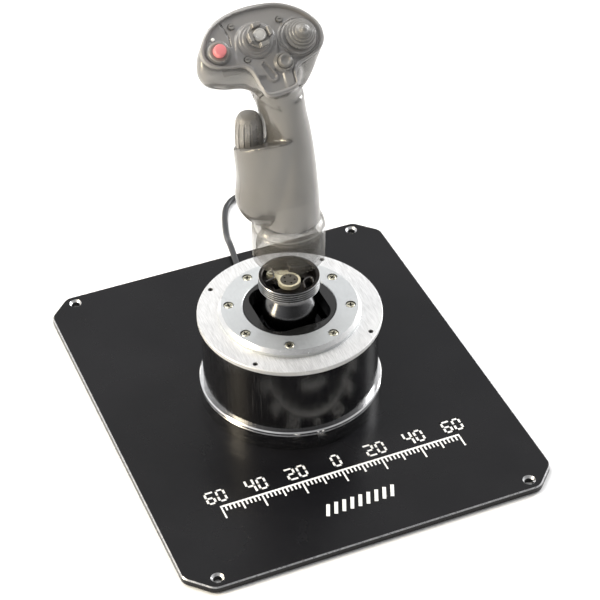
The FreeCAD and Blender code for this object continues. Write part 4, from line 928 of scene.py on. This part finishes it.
def make_stick_dome():
    """The polished dome and its hollow-curved neck, with room for the grip core's tabs."""
    profile = [(1.0, 57.2), (13.4, 57.2), (14.6, 58.9), (15.6, 62.0), (16.1, 66.0),
               (15.9, 69.2), (15.2, 72.0), (14.1, 74.5), (12.9, 76.7), (11.9, 78.8),
               (11.3, 80.8), (11.1, 82.6), (11.4, 84.2), (12.0, 84.9)]
    slot = [(10.0, 84.9), (10.0, 73.6), (6.4, 73.6), (6.4, 84.9), (0.4, 84.9)]
    control("stick_dome_form", [turned_mesh([*eased(profile, 60), *slot], 96)], Matrix.Identity(4),
            MATERIALS["dome"], "stick", "dark_chrome", "stick_dome", angle=60)


SCREW_RADIUS, SCREW_CIRCLE, SCREW_COUNT = 2.62, 35.8, 8
CROSS_REACH, CROSS_HALF, CROSS_DEPTH = 1.7, 0.36, 0.9


def screw_mesh(x, y, top, turn):
    """A cross-recessed head: points on rings, with the cross sunk where it is cut."""
    rings = []
    steps = 72
    flat = [(reach, 0.0) for reach in (2.0, 1.75, 1.6, 1.45, 1.2, 0.95, 0.7, 0.45, 0.2)]
    for reach, drop in [(SCREW_RADIUS, 1.3), (SCREW_RADIUS, 0.35), (SCREW_RADIUS - 0.3, 0.1)] + flat:
        ring = []
        for i in range(steps):
            angle = math.tau * i / steps
            px, py = reach * math.cos(angle), reach * math.sin(angle)
            inside = reach < CROSS_REACH and min(abs(px), abs(py)) < CROSS_HALF
            sunk = CROSS_DEPTH if inside else drop
            ring.append((x + px * math.cos(turn) - py * math.sin(turn),
                         y + px * math.sin(turn) + py * math.cos(turn), top - sunk))
        rings.append(ring)
    return skin(rings)


def make_screws():
    """The disc's screws, each turned its own way; their sunk crosses and the heads' sides are painted
    dark as shade.
    """
    top = span("disc_screws")[1].z
    parts = []
    for i in range(SCREW_COUNT):
        angle = math.radians(22.5 + 45 * i)
        parts.append(screw_mesh(SCREW_CIRCLE * math.cos(angle), SCREW_CIRCLE * math.sin(angle),
                                top, 0.5 + 1.9 * i))
    vertices, faces = joined(*parts)
    screws = mesh_object("disc_screw_heads", vertices, faces, MATERIALS["pale_screw"])
    screws.data.materials.append(MATERIALS["recess"])
    # faces below the head's top, the cross and the head's side, take the dark material: painted shade
    for polygon in screws.data.polygons:
        if polygon.center.z / MM < top - 0.25:
            polygon.material_index = 1
    sharpen(screws, 30)
    finish_piece(screws, "base", "pale_screws", "disc_screws")


# key walls in the collar's mouth, seen from above
GUIDES = [
    [(-13.6, 2.6), (-10.4, 3.3), (-7.8, 4.9), (-6.6, 9.5), (-6.0, 13.4)],
    [(4.4, 14.0), (4.3, 10.6), (5.4, 8.4), (8.6, 7.2), (12.8, 6.4)],
    [(5.2, -11.6), (6.4, -6.4), (8.2, -4.4), (10.6, -3.6), (12.4, -4.9), (11.6, -9.0)],
]


def make_guides():
    """Moulded key walls inside the collar's mouth."""
    section = [(-0.55, 86.95), (-0.55, 90.5), (-0.3, 90.8), (0.3, 90.8), (0.55, 90.5),
               (0.55, 86.95)]
    steps = 24
    parts = []
    for line in GUIDES:
        points = [Vector((*p, 0)) for p in eased(line, steps)]
        rings = []
        for i, point in enumerate(points):
            way = (points[min(i + 1, steps - 1)] - points[max(i - 1, 0)]).normalized()
            side = Vector((-way.y, way.x, 0))
            rings.append([tuple(point + side * out + Vector((0, 0, z)))
                          for out, z in section])
        parts.append(skin(rings))
    control("mouth_guides", parts, Matrix.Identity(4), MATERIALS["guide"], "stick",
            "socket_black")


# ---------------- marks on the plate

# strokes of a plain seven-stroke numeral on a grid 1 wide and 2 high
STROKES = {
    "top": ((0, 2), (1, 2)), "middle": ((0, 1), (1, 1)), "bottom": ((0, 0), (1, 0)),
    "high_left": ((0, 1), (0, 2)), "high_right": ((1, 1), (1, 2)),
    "low_left": ((0, 0), (0, 1)), "low_right": ((1, 0), (1, 1)),
}
NUMERALS = {
    "0": "top bottom high_left high_right low_left low_right",
    "2": "top high_right middle low_left bottom",
    "4": "high_left high_right middle low_right",
    "6": "top high_left middle low_left low_right bottom",
}
PLATE_TOP, PRINT_THICKNESS = 5.0, 0.06
SCALE_HALF, SCALE_TOP, SCALE_STEP = 75, -78.0, 2.5


def bar_mesh(start, end, width):
    """A flat printed bar on the plate from start to end."""
    way = Vector((*end, 0)) - Vector((*start, 0))
    side = Vector((-way.y, way.x, 0)).normalized() * width / 2
    flat = [Vector((*start, 0)) - side, Vector((*end, 0)) - side,
            Vector((*end, 0)) + side, Vector((*start, 0)) + side]
    return skin([[(p.x, p.y, height) for p in flat] 
                 for height in (PLATE_TOP, PLATE_TOP + PRINT_THICKNESS)])


def numeral_bars(text, x, y, height):
    """Bars of a plain number centred on x, standing on y."""
    wide = height * 0.5
    pitch = wide * 1.6
    bars = []
    for i, letter in enumerate(text):
        left = x + (i - (len(text) - 1) / 2) * pitch - wide / 2
        for name in NUMERALS[letter].split():
            (ax, ay), (bx, by) = STROKES[name]
            start = Vector((left + ax * wide, y + ay * height / 2))
            end = Vector((left + bx * wide, y + by * height / 2))
            reach = (end - start).normalized() * height * 0.075
            bars.append(bar_mesh(start - reach, end + reach, height * 0.15))
    return bars


def make_marks():
    """A plain ruled scale with numbers, and a row of stripes under it."""
    bars = []
    for i in range(61):
        x = -SCALE_HALF + i * SCALE_STEP
        tall = 9.0 if i % 10 == 0 else (6.0 if i % 5 == 0 else 3.4)
        bars.append(bar_mesh((x, SCALE_TOP - tall), (x, SCALE_TOP), 1.0))
    line, end = SCALE_TOP + 0.6, SCALE_HALF + 0.5
    bars.append(bar_mesh((-end, line), (end, line), 1.3))
    for i, text in enumerate(("60", "40", "20", "0", "20", "40", "60")):
        bars += numeral_bars(text, -SCALE_HALF + 10 * SCALE_STEP * i, SCALE_TOP + 4.8, 8.6)
    for i in range(9):
        x = -20 + 5 * i
        bars.append(bar_mesh((x - 1.8, -108.0), (x + 1.8, -99.5), 2.1))
    vertices, faces = joined(*bars)
    marks = mesh_object("plate_marks", vertices, faces, MATERIALS["print"], smooth=False)
    finish_piece(marks, "base", "plate_black")


# ---------------- finish on the CAD nodes

PLATE_HOLE = (96, 127)
DISC_EDGE_RADIUS = 39
NUT_SHOULDER_HEIGHT = 129.5


def from_axis(place):
    return math.hypot(place.x, place.y)


def paint_faces(node, rules):
    """Gives faces of a CAD node other materials: rules are (material, test(centre, normal))."""
    mesh = NODES[node].data
    for material, test in rules:
        mesh.materials.append(MATERIALS[material])
        index = len(mesh.materials) - 1
        for polygon in mesh.polygons:
            if test(polygon.center / MM, polygon.normal):
                polygon.material_index = index


def make_node_finish():
    """Bare edges on the CAD nodes that are shown as they are, painted shade in the collar's grooves
    and mouth, and a painted highlight on the nut's shoulder.
    """
    def near_hole(c):
        return abs(abs(c.x) - PLATE_HOLE[0]) < 6 and abs(abs(c.y) - PLATE_HOLE[1]) < 6

    paint_faces("base_plate", [
        ("edge", lambda c, n: 0.3 < (n.z if near_hole(c) else abs(n.z)) < 0.95),
    ])
    paint_faces("retainer_disc", [
        ("lip", lambda c, n: 0.2 < n.z < 0.95 and from_axis(c) > DISC_EDGE_RADIUS),
    ])
    paint_faces("threaded_collar", [
        # the inside of the collar's mouth painted dark: painted shade
        ("mouth", lambda c, n: from_axis(c) < 17.5 and c.z > 86.5),
        # the thread grooves painted dark: painted shade
        ("groove", lambda c, n: 16.4 < from_axis(c) < 17.93 and 86.2 < c.z < 92.5),
    ])
    paint_faces("lock_nut", [
        # the nut's shoulder ring in a lighter material: a painted highlight
        ("shoulder", lambda c, n: c.z > NUT_SHOULDER_HEIGHT and 17.0 < from_axis(c) < 20.95
         and n.z < 0.98),
    ])
    for node, width in (("gate_insert", 0.55), ("usb_plug", 0.4), ("connector_bracket", 0.3),
                        ("coil_tie", 0.3), ("pinky_lever", 0.5)):
        bevel = add_bevel(NODES[node], width)
        if node == "gate_insert":
            NODES[node].data.materials.append(MATERIALS["lip"])
            bevel.material = 1


# ---------------- cord

CORD_RADIUS = 2.0
LEAD_POINTS = [(2.0, 66.0, 11.0), (2.2, 71.5, 10.4), (3.3, 76.5, 8.8)]
TAIL_POINTS = [
    (8.2, 98.0, 13.6), (10.2, 109.0, 9.2), (11.8, 120.0, 7.3), (13.3, 130.5, 8.8),
    (15.0, 141.0, 8.4), (17.3, 152.0, 4.0), (20.6, 164.0, 2.0), (25.2, 178.0, 2.1),
    (31.0, 189.0, 2.3), (40.0, 194.3, 3.1), (50.0, 194.6, 4.0),
]
COIL_CENTRE = (32.2, 78.4)
# each layer's height and the radii of its turns, in the order they are wound
COIL_LAYERS = [(7.1, (27.0, 23.0, 19.0)), (11.1, (19.0, 23.0, 27.0)), (15.1, (19.0, 23.0, 27.0))]
COIL_START = math.radians(172)
POINTS_PER_TURN = 16
TURN_HOLD = 0.55


def coil_points():
    """Turns wound clockwise; the last is an outer one, so that the lead can leave from it."""
    order = [(radius, height) for height, radii in COIL_LAYERS for radius in radii]
    points = []
    for i in range(len(order) * POINTS_PER_TURN):
        turn, part = divmod(i / POINTS_PER_TURN, 1)
        radius, height = order[int(turn)]
        after = order[min(int(turn) + 1, len(order) - 1)]
        ease = max(0.0, (part - TURN_HOLD) / (1 - TURN_HOLD))
        ease = ease * ease * (3 - 2 * ease)
        reach = radius + (after[0] - radius) * ease
        angle = COIL_START - math.tau * i / POINTS_PER_TURN
        points.append((COIL_CENTRE[0] + reach * math.cos(angle),
                       COIL_CENTRE[1] + reach * math.sin(angle),
                       height + (after[1] - height) * ease))
    return points


def spline_object(name, points, radius, material):
    """A round tube along a NURBS spline."""
    data = bpy.data.curves.new(name, "CURVE")
    data.dimensions = "3D"
    spline = data.splines.new("NURBS")
    spline.points.add(len(points) - 1)
    for target, point in zip(spline.points, points):
        target.co = (*(Vector(point) * MM), 1)
    spline.order_u = 3
    spline.use_endpoint_u = True
    data.resolution_u = 6
    data.bevel_depth = radius * MM
    data.bevel_resolution = 5
    data.use_fill_caps = True
    data.materials.append(material)
    return new_object(name, data)


def curve_length(thing):
    """Length of the spline's centre line, in metres."""
    plain = thing.data.copy()
    plain.bevel_depth = 0
    probe = new_object("length_probe", plain)
    mesh = bpy.data.meshes.new_from_object(probe.evaluated_get(
        bpy.context.evaluated_depsgraph_get()))
    bpy.data.objects.remove(probe)
    return sum((mesh.vertices[a].co - mesh.vertices[b].co).length
               for a, b in (edge.vertices for edge in mesh.edges))


def make_cord():
    points = LEAD_POINTS + coil_points() + TAIL_POINTS
    cord = spline_object("usb_cord", points, CORD_RADIUS, MATERIALS["cord"])
    finish_piece(cord, "base", "cord_black", "usb_cord_lead", "usb_cord_coil",
                 "usb_cord_tail")
    bpy.context.view_layer.update()
    length = curve_length(cord)


# ---------------- build

make_camera()
make_materials()
make_world()
make_studio()
dress_nodes()
make_cord()
make_grip_shells()
make_face()
make_trim_hat()
make_castle_hat()
make_side_hat()
make_buttons()
make_trigger()
make_stick_dome()
make_screws()
make_guides()
make_marks()
make_node_finish()
